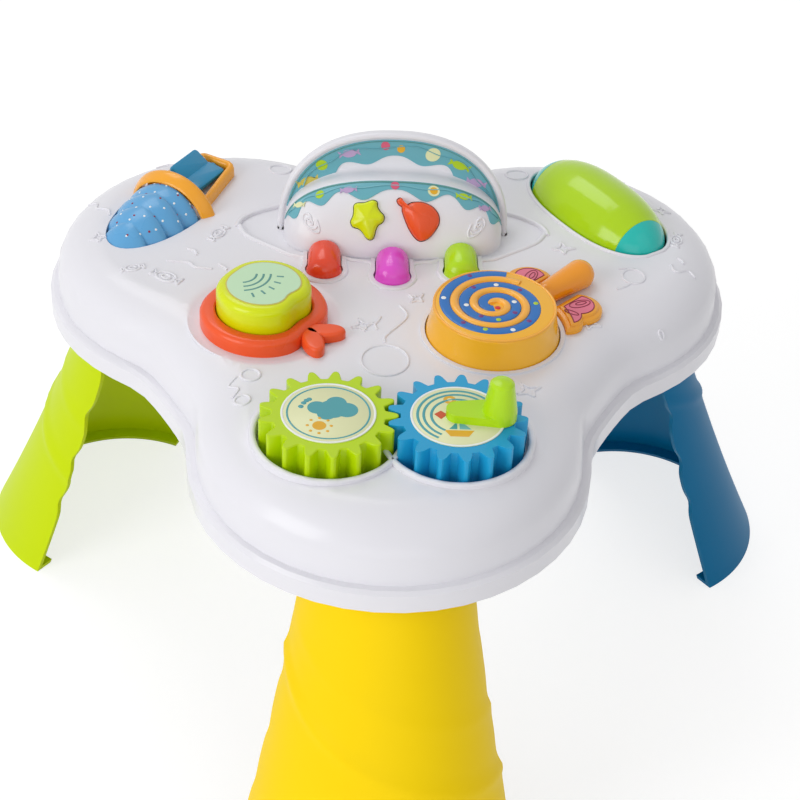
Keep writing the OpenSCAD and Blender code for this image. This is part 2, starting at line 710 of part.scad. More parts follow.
cake_post_side = 50;
cake_post_y = cake_y + 18;
tier_overlap = 16;
module cake_form(in) {
    intersection() {
        translate([cake_x, cake_y, deck - lower_centre]) rotate([90, 0, 0]) rotate_extrude($fn = 96)
            polygon(concat([[0, -tier_overlap], [lower_r(0, in), -tier_overlap]],
                [for (k = [0:13]) let (s = (lower_depth - in) * sin(k * 6.9)) [lower_r(s, in), s]],
                [[0, (lower_depth - in) * sin(13 * 6.9)]]));
        centred_box(far, far, cake_floor - (in > 0 ? 1 : 0), far);
    }
    intersection() {
        translate([cake_x, cake_y + 2 + in, cake_floor]) rotate([90 - upper_lean, 0, 0])
            translate([0, 0, -70]) linear_extrude(70)
                polygon(concat([[upper_half - in, -12], [upper_half - in, 0]],
                    [for (t = [6:6:174]) oval(t, upper_half - in, upper_height / cos(upper_lean) + plate_depth - in, 2.3)],
                    [[in - upper_half, 0], [in - upper_half, -12]]));
        translate([-far / 2, cake_y - far, cake_floor - (in > 0 ? 1 : 0)])
            cube([far, far + 2 + cake_back - in, far]);
        translate([0, cake_y + hood_crest, cake_floor + upper_height + 0.2]) rotate([-hood_slope, 0, 0])
            translate([-far / 2, -far, -far - in]) cube([far, 2 * far, far]);
    }
}
// The hood's top falls away to the back from here.
hood_crest = 19;
hood_slope = 45;
board_drop = 15;
module cake_body() {
    color("white") tray_frame() difference() {
        union() {
            difference() {
                cake_form(0);
                cake_form(wall);
                on_face(STAR_PSI) translate([0, 0, -8]) linear_extrude(12) star_shape(button_gap);
                on_face(BALLOON_PSI) translate([0, 0, -8]) linear_extrude(12) balloon_shape(button_gap);
            }
            for (s = SIDES) translate([cake_x + s * cake_post_side, cake_post_y, 0]) {
                screw_post(cake_floor, deck + 20, post_radius);
                translate([-1, post_radius - 1, cake_floor])
                    cube([2, cake_y + cake_back + 1 - cake_post_y - post_radius + 1, deck + 20 - cake_floor]);
            }
            for (psi = [STAR_PSI, BALLOON_PSI]) on_face(psi) translate([0, 18, -board_drop])
                cylinder(h = board_drop - 7.3, r = 2.5, $fn = 24);
        }
        // Outside the recess the hood rests on the deck.
        difference() {
            centred_box(far, far, cake_floor - 1, deck);
            cake_plate(0.3, cake_floor - 2, deck + 1);
        }
        for (k = [0:2]) at_key(k) translate([0, 0, cake_floor - 1]) linear_extrude(far) key_shape(button_gap);
    }
}
module cake_screws() {
    color("silver") tray_frame() for (s = SIDES)
        translate([cake_x + s * cake_post_side, cake_post_y, deck_under - plate_depth]) screw(14);
}
module upper_icing() {
    top = upper_height / cos(upper_lean) + plate_depth - 4;
    half = upper_half - 4;
    wave = icing_width * 0.32;
    color("#5aa5b4") tray_frame() translate([cake_x, cake_y + 2, cake_floor]) rotate([90 - upper_lean, 0, 0])
        linear_extrude(label_thick) polygon(concat(
            [for (t = [14:4:166]) oval(t, half, top, 2.3)],
            [for (t = [166:-4:14]) let (w = icing_width - wave * cos((t - 14) * drips * 360 / 152))
                oval(t, half - w * 0.6, top - w, 2.3)]));
}
module lower_icing() {
    color("#5aa5b4") tray_frame() translate([cake_x, cake_y, deck - lower_centre]) rotate([90, 0, 0])
        rotate(36) rotate_extrude(angle = 108, $fn = 96)
            polygon(concat([for (k = [0:6]) let (s = 1 + k * 1.9) [lower_r(s, 0) + 0.1, s]],
                [for (k = [6:-1:0]) let (s = 1 + k * 1.9) [lower_r(s, 0) + 0.1 + label_thick, s]]));
}
module cake_board() {
    color("darkgreen") tray_frame() for (psi = [STAR_PSI, BALLOON_PSI]) on_face(psi)
        translate([0, 5, 0]) centred_box(20, 32, -board_drop - board_thick, -board_drop);
}
face_stem = board_drop - dome_height - stem_gap;
face_skirt = 7.5;
module face_button(psi) {
    on_face(psi) {
        translate([0, 0, -face_skirt]) linear_extrude(face_skirt + face_rise) children(0);
        translate([0, 0, -face_skirt]) linear_extrude(1.5) children(1);
        translate([0, 0, -face_stem]) cylinder(h = face_stem, r = stem_radius, $fn = 24);
    }
}
module star_button() {
    color("#bed700") tray_frame() face_button(STAR_PSI) {
        star_shape(0);
        star_shape(1.5);
    }
}
module balloon_button() {
    color("#f05a28") tray_frame() face_button(BALLOON_PSI) {
        balloon_shape(0);
        balloon_shape(1.5);
    }
}

module dome() {
    cylinder(h = dome_height, r1 = dome_radius, r2 = stem_radius, $fn = 24);
}
module face_dome(psi) {
    color("lightgray") tray_frame() on_face(psi) translate([0, 0, -board_drop]) dome();
}
module star_dome() { face_dome(STAR_PSI); }
module balloon_dome() { face_dome(BALLOON_PSI); }

// ---- piano keys ----

module piano_key(k) {
    skirt = deck_under - plate_depth - flange_gap - 1.5;
    tray_frame() at_key(k) union() {
        intersection() {
            union() {
                translate([0, key_length / 2, deck + 1]) rotate([90, 0, 0])
                    cylinder(h = key_length / 2 - key_front, r = key_radius, $fn = 48);
                translate([0, key_front, deck + 1]) sphere(r = key_bulb, $fn = 48);
            }
            centred_box(3 * key_radius, 2 * key_length, deck, far);
        }
        translate([0, 0, skirt]) linear_extrude(deck - skirt) key_shape(0);
        translate([0, 0, skirt]) linear_extrude(1.5) key_shape(flange);
        translate([0, 0, stem_low]) cylinder(h = skirt - stem_low, r = stem_radius, $fn = 24);
    }
}
module key_red() { color("#eb4b28") piano_key(0); }
module key_magenta() { color("#e150cd") piano_key(1); }
module key_green() { color("#bed700") piano_key(2); }
module board_dome() {
    color("lightgray") translate([0, 0, board_high]) dome();
}
module key_red_dome() { tray_frame() at_key(0) board_dome(); }
module key_magenta_dome() { tray_frame() at_key(1) board_dome(); }
module key_green_dome() { tray_frame() at_key(2) board_dome(); }

// ---- apple ----

module apple_base() {
    color("#f05a28") tray_frame() at_apple() difference() {
        union() {
            translate([0, 0, deck - dish_depth]) linear_extrude(dish_depth + apple_rise) apple_shape(apple_radius, 0);
            for (a = [-72, 2]) rotate(-35) translate([apple_radius - 5, 0, deck]) rotate(a + 35)
                linear_extrude(apple_rise - 2) polygon([for (t = [0:15:345]) [9, 0] + oval(t, 12, 6, 2)]);
        }
        translate([0, 0, deck - far / 2]) linear_extrude(far) apple_shape(apple_button_radius, button_gap);
    }
}
apple_top = deck + apple_rise + apple_button_rise;
module apple_button() {
    low = deck_under - dish_depth - flange_gap - 1.5;
    color("#d2e100") tray_frame() at_apple() difference() {
        union() {
            translate([0, 0, low]) linear_extrude(apple_top - 3 - low) apple_shape(apple_button_radius, 0);
            translate([0, 0, apple_top - 4]) linear_extrude(2.6) apple_shape(apple_button_radius, -1.2);
            translate([0, 0, apple_top - 2]) linear_extrude(2) apple_shape(apple_button_radius, -3);
            translate([0, 0, low]) linear_extrude(1.5) apple_shape(apple_button_radius, flange);
            translate([0, 0, stem_low]) cylinder(h = low - stem_low + 1, r = stem_radius, $fn = 24);
        }
        difference() {
            translate([0, 0, low + 3]) linear_extrude(apple_top - low - 8) apple_shape(apple_button_radius, -wall);
            translate([0, 0, low]) cylinder(h = 20, r = stem_radius + 1, $fn = 24);
        }
    }
}
module apple_label() {
    color("#c8e6be") tray_frame() at_apple() translate([0, 0, apple_top])
        linear_extrude(label_thick) apple_shape(apple_button_radius - 6, 0);
}
module apple_dome() { tray_frame() at_apple() board_dome(); }

// ---- lollipop ----

lolly_high = deck + lolly_rise;
swirl_start = 75;
module swirl_form(wide, low, high) {
    outer = lolly_top - 3.2;
    at_lolly() rotate(swirl_start) for (k = [0:4]) {
        r = outer - k * swirl_pitch / 2;
        rotate(180 * (k % 2)) translate([swirl_pitch / 4, 0, low]) rotate(-0.4) rotate_extrude(angle = 180.8, $fn = 72)
            translate([r - swirl_pitch / 4 - wide / 2, 0]) square([wide, high - low]);
    }
}
module lollipop_drum() {
    low = deck_under - flange_gap - 2;
    color("#faaf2d") tray_frame() difference() {
        at_lolly() union() {
            rotate_extrude($fn = 96) polygon([
                [0, lolly_high], [lolly_top - 2, lolly_high], [lolly_top, lolly_high - 2], [lolly_radius - 1, deck + 4],
                [lolly_radius, deck], [lolly_radius, low + 2], [lolly_radius + flange, low + 2],
                [lolly_radius + flange, low], [lolly_radius - wall, low], [lolly_radius - wall, deck],
                [lolly_top - wall - 2, lolly_high - 4], [stem_radius, lolly_high - 4],
                [stem_radius, stem_low], [0, stem_low]]);
        }
        swirl_form(swirl_width + 0.2, lolly_high - 1, lolly_high + 1);
    }
}
module lollipop_swirl() {
    color("#146ebe") tray_frame() swirl_form(swirl_width, lolly_high - 1, lolly_high + 0.2);
}
module lollipop_dome() { tray_frame() at_lolly() board_dome(); }
stick_start = lolly_radius + button_gap + lip_width + 0.2;
stick_high = 6.5;
module lollipop_stick() {
    color("#faa528") tray_frame() at_stick() intersection() {
        union() {
            translate([stick_start, 0, deck + stick_high]) rotate([0, 90, 0])
                cylinder(h = stick_reach - stick_start, r1 = stick_root, r2 = stick_end, $fn = 48);
            translate([stick_reach, 0, deck + stick_high]) sphere(r = stick_end, $fn = 48);
        }
        slab(deck, far);
    }
}
bow_high = 5;
module lollipop_bow() {
    color("#fa9b28") tray_frame() at_stick() difference() {
        for (s = SIDES) translate([0, 0, deck]) {
            translate([52, s * 19, 0]) cylinder(h = bow_high, r = 14, $fn = 48);
            translate([37, s * 24, 0]) cylinder(h = bow_high, r = 9, $fn = 48);
        }
        translate([0, 0, deck - 1]) cylinder(h = 20, r = stick_start, $fn = 72);
        translate([stick_start + far / 2, 0, 0]) centred_box(far + 20, 2 * stick_end + 0.6, deck - 1, deck + 20);
    }
}

// ---- ice cream ----

module scoop_form() {
    translate([-scoop_back, 0, deck - scoop_sink]) rotate([0, -90, 0]) rotate_extrude($fn = 72)
        polygon(concat([[0, 0]], [for (t = [0:7.5:82.5]) [scoop_radius * cos(t), scoop_long * sin(t)]],
            [[0, scoop_long]]));
}
module ice_cream_scoop() {
    low = deck_under - flange_gap - 1.5;
    color("#5fa5d7") tray_frame() at_ice() union() {
        intersection() {
            scoop_form();
            slab(deck, far);
        }
        translate([0, 0, low]) linear_extrude(deck - low + 0.3) scoop_shape(-0.4);
        translate([0, 0, low]) linear_extrude(1.5) scoop_shape(flange - 1);
        translate([-scoop_stem, 0, stem_low]) cylinder(h = low - stem_low, r = stem_radius, $fn = 24);
    }
}
module scoop_board() {
    color("darkgreen") tray_frame() at_ice() translate([-scoop_stem, 0, 0]) difference() {
        centred_box(16, 2 * (scoop_post_side + 4), board_low, board_high);
        for (s = SIDES) translate([0, s * scoop_post_side, board_low - 1])
            cylinder(h = 4, r = scoop_pin_radius + screw_clearance, $fn = 24);
    }
}
module scoop_dome() { tray_frame() at_ice() translate([-scoop_stem, 0, 0]) board_dome(); }

cone_start = -4;
function cone_half(a) = cone_wide + (cone_narrow - cone_wide) * (a - cone_start) / (cone_length - cone_start);
module cone_outline(in) {
    a = cone_start + in;
    b = cone_length - in;
    polygon([[a, -cone_half(a) + in], [b, -cone_half(b) + in], [b, cone_half(b) - in], [a, cone_half(a) - in]]);
}
band_in = scoop_radius + 0.8;
band_thick = 3;
module cone_frame() {
    color("#f5aa32") tray_frame() at_ice() difference() {
        union() {
            translate([0, 0, deck]) linear_extrude(cone_rise) cone_outline(0);
            intersection() {
                translate([-scoop_back + 0.5, 0, deck]) rotate([0, 12, 0]) translate([0, 0, -scoop_sink])
                    rotate([0, 90, 0]) difference() {
                        cylinder(h = 9, r = band_in + band_thick, $fn = 72);
                        translate([0, 0, -1]) cylinder(h = 11, r = band_in, $fn = 72);
                    }
                slab(deck, far);
            }
            translate([-scoop_back + 9, 0, deck]) centred_box(4, 2 * (band_in - 1), 0, cone_rise);
        }
        translate([0, 0, deck - 1]) linear_extrude(far) cone_outline(cone_bar);
        translate([-far / 2, 0, rocker_axis]) rotate([0, 90, 0])
            cylinder(h = far / 2 + cone_length - 2, r = rocker_pin_radius + run_gap, $fn = 24);
    }
}
rocker_near = cone_start + cone_bar + button_gap;
rocker_far = cone_length - cone_bar - button_gap;
module rocker_wing(s) {
    w = cone_bar + button_gap;
    translate([0, 0, -rocker_thick / 2]) linear_extrude(rocker_thick) polygon([[rocker_near, 0], [rocker_far, 0],
        [rocker_far, s * (cone_half(rocker_far) - w - 0.5)], [rocker_near, s * (cone_half(rocker_near) - w - 0.5)]]);
}
module cone_rocker() {
    color("#1e87b4") tray_frame() at_ice() translate([0, 0, rocker_axis]) difference() {
        union() {
            rocker_wing(-1);
            rotate([rocker_vee, 0, 0]) rocker_wing(1);
            translate([rocker_near, 0, 0]) rotate([0, 90, 0])
                cylinder(h = rocker_far - rocker_near, r = rocker_barrel, $fn = 32);
        }
        translate([-far / 2, 0, 0]) rotate([0, 90, 0]) cylinder(h = far, r = rocker_pin_radius + run_gap, $fn = 24);
    }
}
module rocker_pin() {
    color("silver") tray_frame() at_ice() translate([cone_start + 0.5, 0, rocker_axis]) rotate([0, 90, 0])
        cylinder(h = cone_length - 3 - cone_start, r = rocker_pin_radius, $fn = 24);
}

// ---- gears ----

module gear(side) {
    tray_frame() at_gear(side) difference() {
        translate([0, 0, gear_low]) linear_extrude(gear_thick) gear_shape();
        translate([0, 0, gear_low - 1]) cylinder(h = far, r = gear_pin_radius + run_gap, $fn = 32);
        translate([0, 0, gear_high - 4]) cylinder(h = 10, r = pin_head + 0.5, $fn = 32);
        difference() {
            translate([0, 0, gear_low - 1]) cylinder(h = gear_thick - 6, r = gear_root - 3, $fn = 64);
            translate([0, 0, gear_low - 2]) cylinder(h = gear_thick, r = 7, $fn = 32);
        }
        if (side > 0) for (x = [crank_peg, crank_throw])
            translate([x, 0, gear_high - 5]) cylinder(h = 10, r = peg_radius + run_gap, $fn = 24);
    }
}
crank_peg = 11;
peg_radius = 1.6;
module green_gear() { color("#bed700") gear(-1); }
module blue_gear() { color("#1ea0d2") gear(1); }
module gear_label(side) {
    color("#e6e6b4") tray_frame() at_gear(side) translate([0, 0, gear_high]) difference() {
        cylinder(h = label_thick, r = gear_label_radius, $fn = 64);
        if (side > 0) for (x = [crank_peg, crank_throw])
            translate([x, 0, -1]) cylinder(h = 3, r = peg_radius + run_gap, $fn = 24);
    }
}
module green_gear_label() { gear_label(-1); }
module blue_gear_label() { gear_label(1); }
module gear_screws() {
    color("silver") tray_frame() for (s = SIDES) at_gear(s) union() {
        translate([0, 0, pocket_floor - 10]) cylinder(h = gear_high - 4 + label_gap - pocket_floor + 10,
            r = gear_pin_radius, $fn = 32);
        translate([0, 0, gear_high - 4 + label_gap]) cylinder(h = 2.6, r = pin_head, $fn = 32);
    }
}
module crank_handle() {
    low = gear_high + label_thick;
    color("#b4dc00") tray_frame() at_gear(1) union() {
        translate([0, 0, low]) cylinder(h = crank_arm, r = crank_hub, $fn = 48);
        translate([crank_throw, 0, low]) cylinder(h = crank_arm, r = crank_end, $fn = 48);
        translate([0, 0, low]) linear_extrude(crank_arm)
            polygon([[0, -crank_hub], [crank_throw, -crank_end], [crank_throw, crank_end], [0, crank_hub]]);
        translate([crank_throw, 0, low + crank_arm]) rotate_extrude($fn = 48) polygon([[0, 0], [crank_end, 0],
            [knob_top + 0.4, knob_height - 2], [knob_top - 1, knob_height - 0.6], [knob_top - 3.5, knob_height],
            [0, knob_height + 0.4]]);
        for (x = [crank_peg, crank_throw])
            translate([x, 0, gear_high - 4.5]) cylinder(h = 6, r = peg_radius, $fn = 24);
    }
}

// ---- roller ----

roller_stop = roller_half * 0.985;
module roller_skin(start, sweep) {
    on_roller_axis() rotate(start) rotate_extrude(angle = sweep, $fn = 72)
        polygon(concat([for (k = [-6:6]) let (s = barrel_half * k / 6) [roller_r(s), s]],
                       [for (k = [6:-1:-6]) let (s = barrel_half * k / 6) [roller_r(s) - roller_wall, s]]));
}
green_start = 180 - roller_green / 2 + 30;
module roller_shell() { color("#afd700") tray_frame() roller_skin(green_start, roller_green); }
module roller_window() { color("white") tray_frame() roller_skin(green_start + roller_green, 360 - roller_green); }
module roller_cap(side) {
    color("#19beb4") tray_frame() on_roller_axis() mirror([0, 0, side < 0 ? 1 : 0]) rotate_extrude($fn = 72)
        polygon(concat([[axle_radius + run_gap, barrel_half - 3],
                        [roller_r(barrel_half) - roller_wall - 0.1, barrel_half - 3],
                        [roller_r(barrel_half) - roller_wall - 0.1, barrel_half]],
            [for (k = [0:8]) let (s = barrel_half + (roller_stop - barrel_half) * sin(k * 11.25)) [roller_r(s), s]],
            [[axle_radius + run_gap, roller_stop]]));
}
module roller_cap_rear() { roller_cap(-1); }
module roller_cap_front() { roller_cap(1); }
ear_thick = 2.5;
ear_wide = 8;
ear_gap = 0.35;
ear_place = roller_half + roller_gap + ear_thick / 2;
// The tray's sloping shoulder trims the ears and the axle's ends.
module roller_axle() {
    color("silver") tray_frame() intersection() {
        on_roller_axis() cylinder(h = 2 * ear_place + ear_thick, r = axle_radius, center = true, $fn = 32);
        tray_body(wall + ear_gap);
    }
}
module roller_cradle() {
    depth = roller_radius + 3.5;
    color("gainsboro") tray_frame() difference() {
        intersection() {
            at_roller() translate([0, 0, roller_axis]) union() {
                for (s = SIDES) translate([s * ear_place, 0, 0])
                    centred_box(ear_thick, ear_wide, -depth, roller_sink);
                centred_box(2 * ear_place + ear_thick, ear_wide, -depth, 2 - depth);
            }
            tray_body(wall + ear_gap);
        }
        on_roller_axis() cylinder(h = far, r = axle_radius + run_gap, center = true, $fn = 32);
    }
}

top_shell();
base_cover();
leg_front();
leg_left();
leg_right();
case_screws();
leg_screws();
battery_door();
battery_door_screw();
batteries();
battery_contacts();
main_board();
board_screws();
speaker();
power_switch();
power_switch_knob();
cake_body();
cake_screws();
upper_icing();
lower_icing();
cake_board();
star_button();
balloon_button();
star_dome();
balloon_dome();
key_red();
key_magenta();
key_green();
key_red_dome();
key_magenta_dome();
key_green_dome();
apple_base();
apple_button();
apple_label();
apple_dome();
lollipop_drum();
lollipop_swirl();
lollipop_dome();
lollipop_stick();
lollipop_bow();
cone_frame();
cone_rocker();
rocker_pin();
ice_cream_scoop();
scoop_board();
scoop_dome();
green_gear();
green_gear_label();
blue_gear();
blue_gear_label();
crank_handle();
gear_screws();
roller_shell();
roller_window();
roller_cap_rear();
roller_cap_front();
roller_axle();
roller_cradle();
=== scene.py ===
"""Looks of the musical activity table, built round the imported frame. Metres outside, millimetres inside."""

import json
import math

import bmesh
import bpy
import numpy as np
from mathutils import Matrix, Vector
from mathutils.bvhtree import BVHTree

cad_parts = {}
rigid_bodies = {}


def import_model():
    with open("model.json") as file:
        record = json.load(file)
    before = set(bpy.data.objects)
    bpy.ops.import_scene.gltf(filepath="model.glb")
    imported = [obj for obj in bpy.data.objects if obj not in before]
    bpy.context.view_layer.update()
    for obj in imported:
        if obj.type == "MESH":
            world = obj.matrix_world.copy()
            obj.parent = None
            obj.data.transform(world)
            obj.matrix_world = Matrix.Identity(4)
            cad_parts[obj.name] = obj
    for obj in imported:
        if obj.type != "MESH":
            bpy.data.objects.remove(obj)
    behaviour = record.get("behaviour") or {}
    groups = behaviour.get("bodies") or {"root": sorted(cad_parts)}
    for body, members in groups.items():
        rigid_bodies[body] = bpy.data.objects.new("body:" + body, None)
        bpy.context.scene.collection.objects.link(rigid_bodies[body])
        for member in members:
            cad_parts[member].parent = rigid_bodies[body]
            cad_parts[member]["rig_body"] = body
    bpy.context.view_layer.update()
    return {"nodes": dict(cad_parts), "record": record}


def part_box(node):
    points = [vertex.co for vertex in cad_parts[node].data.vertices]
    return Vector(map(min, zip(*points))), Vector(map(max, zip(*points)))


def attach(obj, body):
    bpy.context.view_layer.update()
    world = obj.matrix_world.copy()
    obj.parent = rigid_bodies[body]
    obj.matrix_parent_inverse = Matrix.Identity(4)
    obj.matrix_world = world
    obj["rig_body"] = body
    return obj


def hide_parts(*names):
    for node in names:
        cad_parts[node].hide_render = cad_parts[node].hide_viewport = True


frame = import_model()

# ---- places on the table, in millimetres from its axis and its rim's lower edge ----

MM = 0.001
DECK = 48.0
DOME_TOP = 31.9
STEM_RADIUS = 4
LOLLY_X, LOLLY_FRONT = 57.6, 44.5
GEAR_X, GEAR_Y = 33.8, -140.6
POCKET_RADIUS = 39.9
CAKE_X, CAKE_Y = 1.5, 60.0
drum_low, drum_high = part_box("lollipop_drum")
RIM_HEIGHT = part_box("top_shell")[0].z
AXIS_SHIFT = (drum_low.y + drum_high.y) / 2 + LOLLY_FRONT * MM
TABLE_AXIS = np.array((0.0, AXIS_SHIFT, RIM_HEIGHT))
SLOT_OF = {s["node"]: s["material_slot"] for s in frame["record"]["subparts"]}


def spot(x, y, z=0.0, turn=0.0):
    """A place on the tray: moved to x, y, z and turned about the vertical."""
    return Matrix.Translation((x, y, z)) @ Matrix.Rotation(math.radians(turn), 4, "Z")


LOBES = {"leg_front": -90, "leg_right": 30, "leg_left": 150}
KEY_PLACES = {"key_red": (-39.5, 17.0), "key_magenta": (1.0, 12.0), "key_green": (42.0, 18.5)}
ON_APPLE = spot(-72.5, -36.0)
ON_LOLLY = spot(LOLLY_X, -LOLLY_FRONT)
ON_STICK = spot(LOLLY_X, -LOLLY_FRONT, turn=44)
ON_ICE = spot(-130.5, 91.5, turn=60)
ON_ROLLER = spot(130.2, 89.0, turn=-57)
ON_GEAR = {"green_gear": spot(-GEAR_X, GEAR_Y), "blue_gear": spot(GEAR_X, GEAR_Y)}


def moved(points, place):
    """Points in a place's millimetres as points on the tray."""
    turned = np.array(place)
    return np.asarray(points, float) @ turned[:3, :3].T + turned[:3, 3]


def to_world(points, place=None):
    """Points in a place's millimetres as points in the row frame's metres."""
    on_tray = np.asarray(points, float) if place is None else moved(points, place)
    return on_tray * MM + TABLE_AXIS


# ---- finishes ----

DRIFT_SCALE, GRAIN_SCALE, GRAIN_DEPTH = 14.0, 1500.0, 0.00005
GLOSS_SPREAD, COAT_ROUGH = 0.05, 0.08


def linear(red, green, blue):
    """A colour on the scale of 255 as the linear values that a shader takes."""
    shares = (c / 255 for c in (red, green, blue))
    return [c / 12.92 if c <= 0.04045 else ((c + 0.055) / 1.055) ** 2.4 for c in shares]


def add_node(tree, kind, values=None, **settings):
    made = tree.nodes.new(kind)
    for name, value in settings.items():
        setattr(made, name, value)
    for name, value in (values or {}).items():
        made.inputs[name].default_value = value
    return made


def wire(tree, *links):
    """Links, each given as a node and its output, then a node and its input."""
    for source, out, target, into in links:
        tree.links.new(source.outputs[out], target.inputs[into])


def moulded(name, colour, rough=0.3, coat=0.25, tone=0.05, grain=0.12, clear=0.0, shine=0.28, plated=0.0):
    """Injection-moulded plastic: faint tone drift, fine surface grain and a slightly uneven gloss."""
    material = bpy.data.materials.new(name)
    material.use_nodes = True
    tree = material.node_tree
    shader = tree.nodes["Principled BSDF"]
    darker, lighter = ([min(1, c * (1 + shift)) for c in linear(*colour)] + [1] for shift in (-tone, tone))
    place = add_node(tree, "ShaderNodeTexCoord")
    drift = add_node(tree, "ShaderNodeTexNoise", {"Scale": DRIFT_SCALE, "Detail": 3.0})
    grains = add_node(tree, "ShaderNodeTexNoise", {"Scale": GRAIN_SCALE, "Detail": 2.0})
    mix = add_node(tree, "ShaderNodeMix", {6: darker, 7: lighter}, data_type="RGBA")
    spread = {"To Min": rough - GLOSS_SPREAD, "To Max": rough + GLOSS_SPREAD}
    gloss = add_node(tree, "ShaderNodeMapRange", spread)
    bump = add_node(tree, "ShaderNodeBump", {"Strength": grain, "Distance": GRAIN_DEPTH})
    wire(tree, (place, "Object", drift, "Vector"), (place, "Object", grains, "Vector"),
         (drift, "Fac", mix, 0), (mix, 2, shader, "Base Color"), (drift, "Fac", gloss, "Value"),
         (gloss, "Result", shader, "Roughness"), (grains, "Fac", bump, "Height"),
         (bump, "Normal", shader, "Normal"))
    values = {"Specular IOR Level": shine, "Coat Weight": coat / 2, "Coat Roughness": COAT_ROUGH,
              "Transmission Weight": clear, "Metallic": plated}
    for socket, value in values.items():
        shader.inputs[socket].default_value = value
    return material


SLOT_FINISHES = {
    "white_plastic": moulded("white_moulding", (230, 229, 235), 0.3, 0.3, tone=0.012),
    "grey_plastic": moulded("grey_cover", (214, 214, 219), 0.45, 0.0, tone=0.03, grain=0.4),
    "yellow_leg": moulded("yellow_leg_moulding", (255, 216, 0), 0.45, 0.0, tone=0.03, shine=0.12),
    "lime_leg": moulded("lime_leg_moulding", (202, 224, 0), 0.45, 0.0, tone=0.03, shine=0.12),
    "blue_leg": moulded("blue_leg_moulding", (0, 108, 155), 0.45, 0.0, tone=0.05, shine=0.12),
    "lime_gear": moulded("lime_gear_moulding", (186, 218, 0), 0.3, 0.2),
    "blue_gear": moulded("blue_gear_moulding", (30, 160, 210), 0.3, 0.2),
    "lime_plastic": moulded("lime_moulding", (178, 222, 10), 0.24, 0.4),
    "orange_red": moulded("orange_red_moulding", (240, 88, 38), 0.28, 0.3),
    "red_plastic": moulded("red_key_moulding", (234, 72, 38), 0.2, 0.5),
    "magenta_plastic": moulded("magenta_key_moulding", (225, 80, 205), 0.2, 0.5),
    "yellow_green": moulded("yellow_green_moulding", (214, 226, 0), 0.26, 0.35),
    "lolly_orange": moulded("lollipop_orange", (250, 184, 40), 0.2, 0.5),
    "swirl_blue": moulded("swirl_blue_paint", (20, 110, 190), 0.25, 0.4),
    "cone_orange": moulded("cone_orange_moulding", (245, 168, 45), 0.24, 0.4),
    "ice_blue": moulded("ice_blue_moulding", (95, 165, 215), 0.26, 0.35),
    "rocker_teal": moulded("rocker_teal_moulding", (30, 138, 182), 0.3, 0.3),
    "roller_lime": moulded("roller_lime_moulding", (175, 215, 0), 0.2, 0.5),
    "roller_clear": moulded("roller_window_moulding", (232, 234, 232), 0.15, 0.5, tone=0.02, clear=0.35),
    "cap_teal": moulded("cap_teal_moulding", (25, 190, 180), 0.18, 0.5),
    "icing_print": moulded("icing_teal_print", (104, 172, 186), 0.35, 0.3, tone=0.08),
    "label_print": moulded("label_mint_print", (200, 230, 190), 0.4, 0.2, tone=0.04),
    "steel": moulded("plated_steel", (200, 202, 205), 0.25, 0.0, tone=0.08, grain=0.3, plated=1.0),
    "board": moulded("circuit_board_green", (20, 90, 50), 0.45, 0.1, tone=0.2),
    "black_plastic": moulded("black_moulding", (32, 32, 34), 0.5, 0.0, tone=0.1, grain=0.4),
    "silicone": moulded("dome_rubber", (205, 205, 200), 0.6, 0.0, tone=0.05, grain=0.3),
    "cell_jacket": moulded("cell_jacket_print", (70, 74, 80), 0.3, 0.4, tone=0.2),
}
WHITE = SLOT_FINISHES["white_plastic"]
LOLLY_AMBER = moulded("stick_amber", (250, 158, 22), 0.16, 0.6, tone=0.06)
RIDGE_ORANGE = moulded("swirl_ridge_orange", (252, 178, 58), 0.18, 0.6)
PALE_TINTS = {"cream": (226, 228, 180, 0.03), "mint": (196, 228, 190, 0.04), "white": (240, 242, 240, 0.02)}
PLAIN_TINTS = {"teal": (76, 158, 166), "slate": (92, 148, 140), "amber": (228, 172, 40),
               "tan": (205, 190, 90), "brick": (205, 84, 44), "sky": (120, 184, 196), "lime": (176, 206, 40)}
GLOSSY_TINTS = {"pink": (232, 122, 148), "rose": (214, 90, 120), "maroon": (140, 30, 60),
                "purple": (112, 44, 122), "lilac": (186, 160, 200), "red": (214, 40, 40)}
PRINTS = {}
for tint, (*colour, drift) in PALE_TINTS.items():
    PRINTS[tint] = moulded("print_" + tint, colour, 0.4, 0.2, tone=drift)
for tints, rough, coat in ((PLAIN_TINTS, 0.4, 0.2), (GLOSSY_TINTS, 0.35, 0.3)):
    for tint, colour in tints.items():
        PRINTS[tint] = moulded("print_" + tint, colour, rough, coat)

# ---- mesh making ----

MERGE = 2e-6


def loft(rings, capped=True):
    """Points and faces through closed rings of equal length, from the lowest to the highest."""
    count = len(rings[0])
    points = np.vstack([np.asarray(ring, float) for ring in rings])
    faces = []
    for i in range(len(rings) - 1):
        for j in range(count):
            k = (j + 1) % count
            faces.append((i * count + j, i * count + k, (i + 1) * count + k, (i + 1) * count + j))
    if capped:
        faces.append(tuple(range(count - 1, -1, -1)))
        faces.append(tuple(range((len(rings) - 1) * count, len(rings) * count)))
    return points, faces


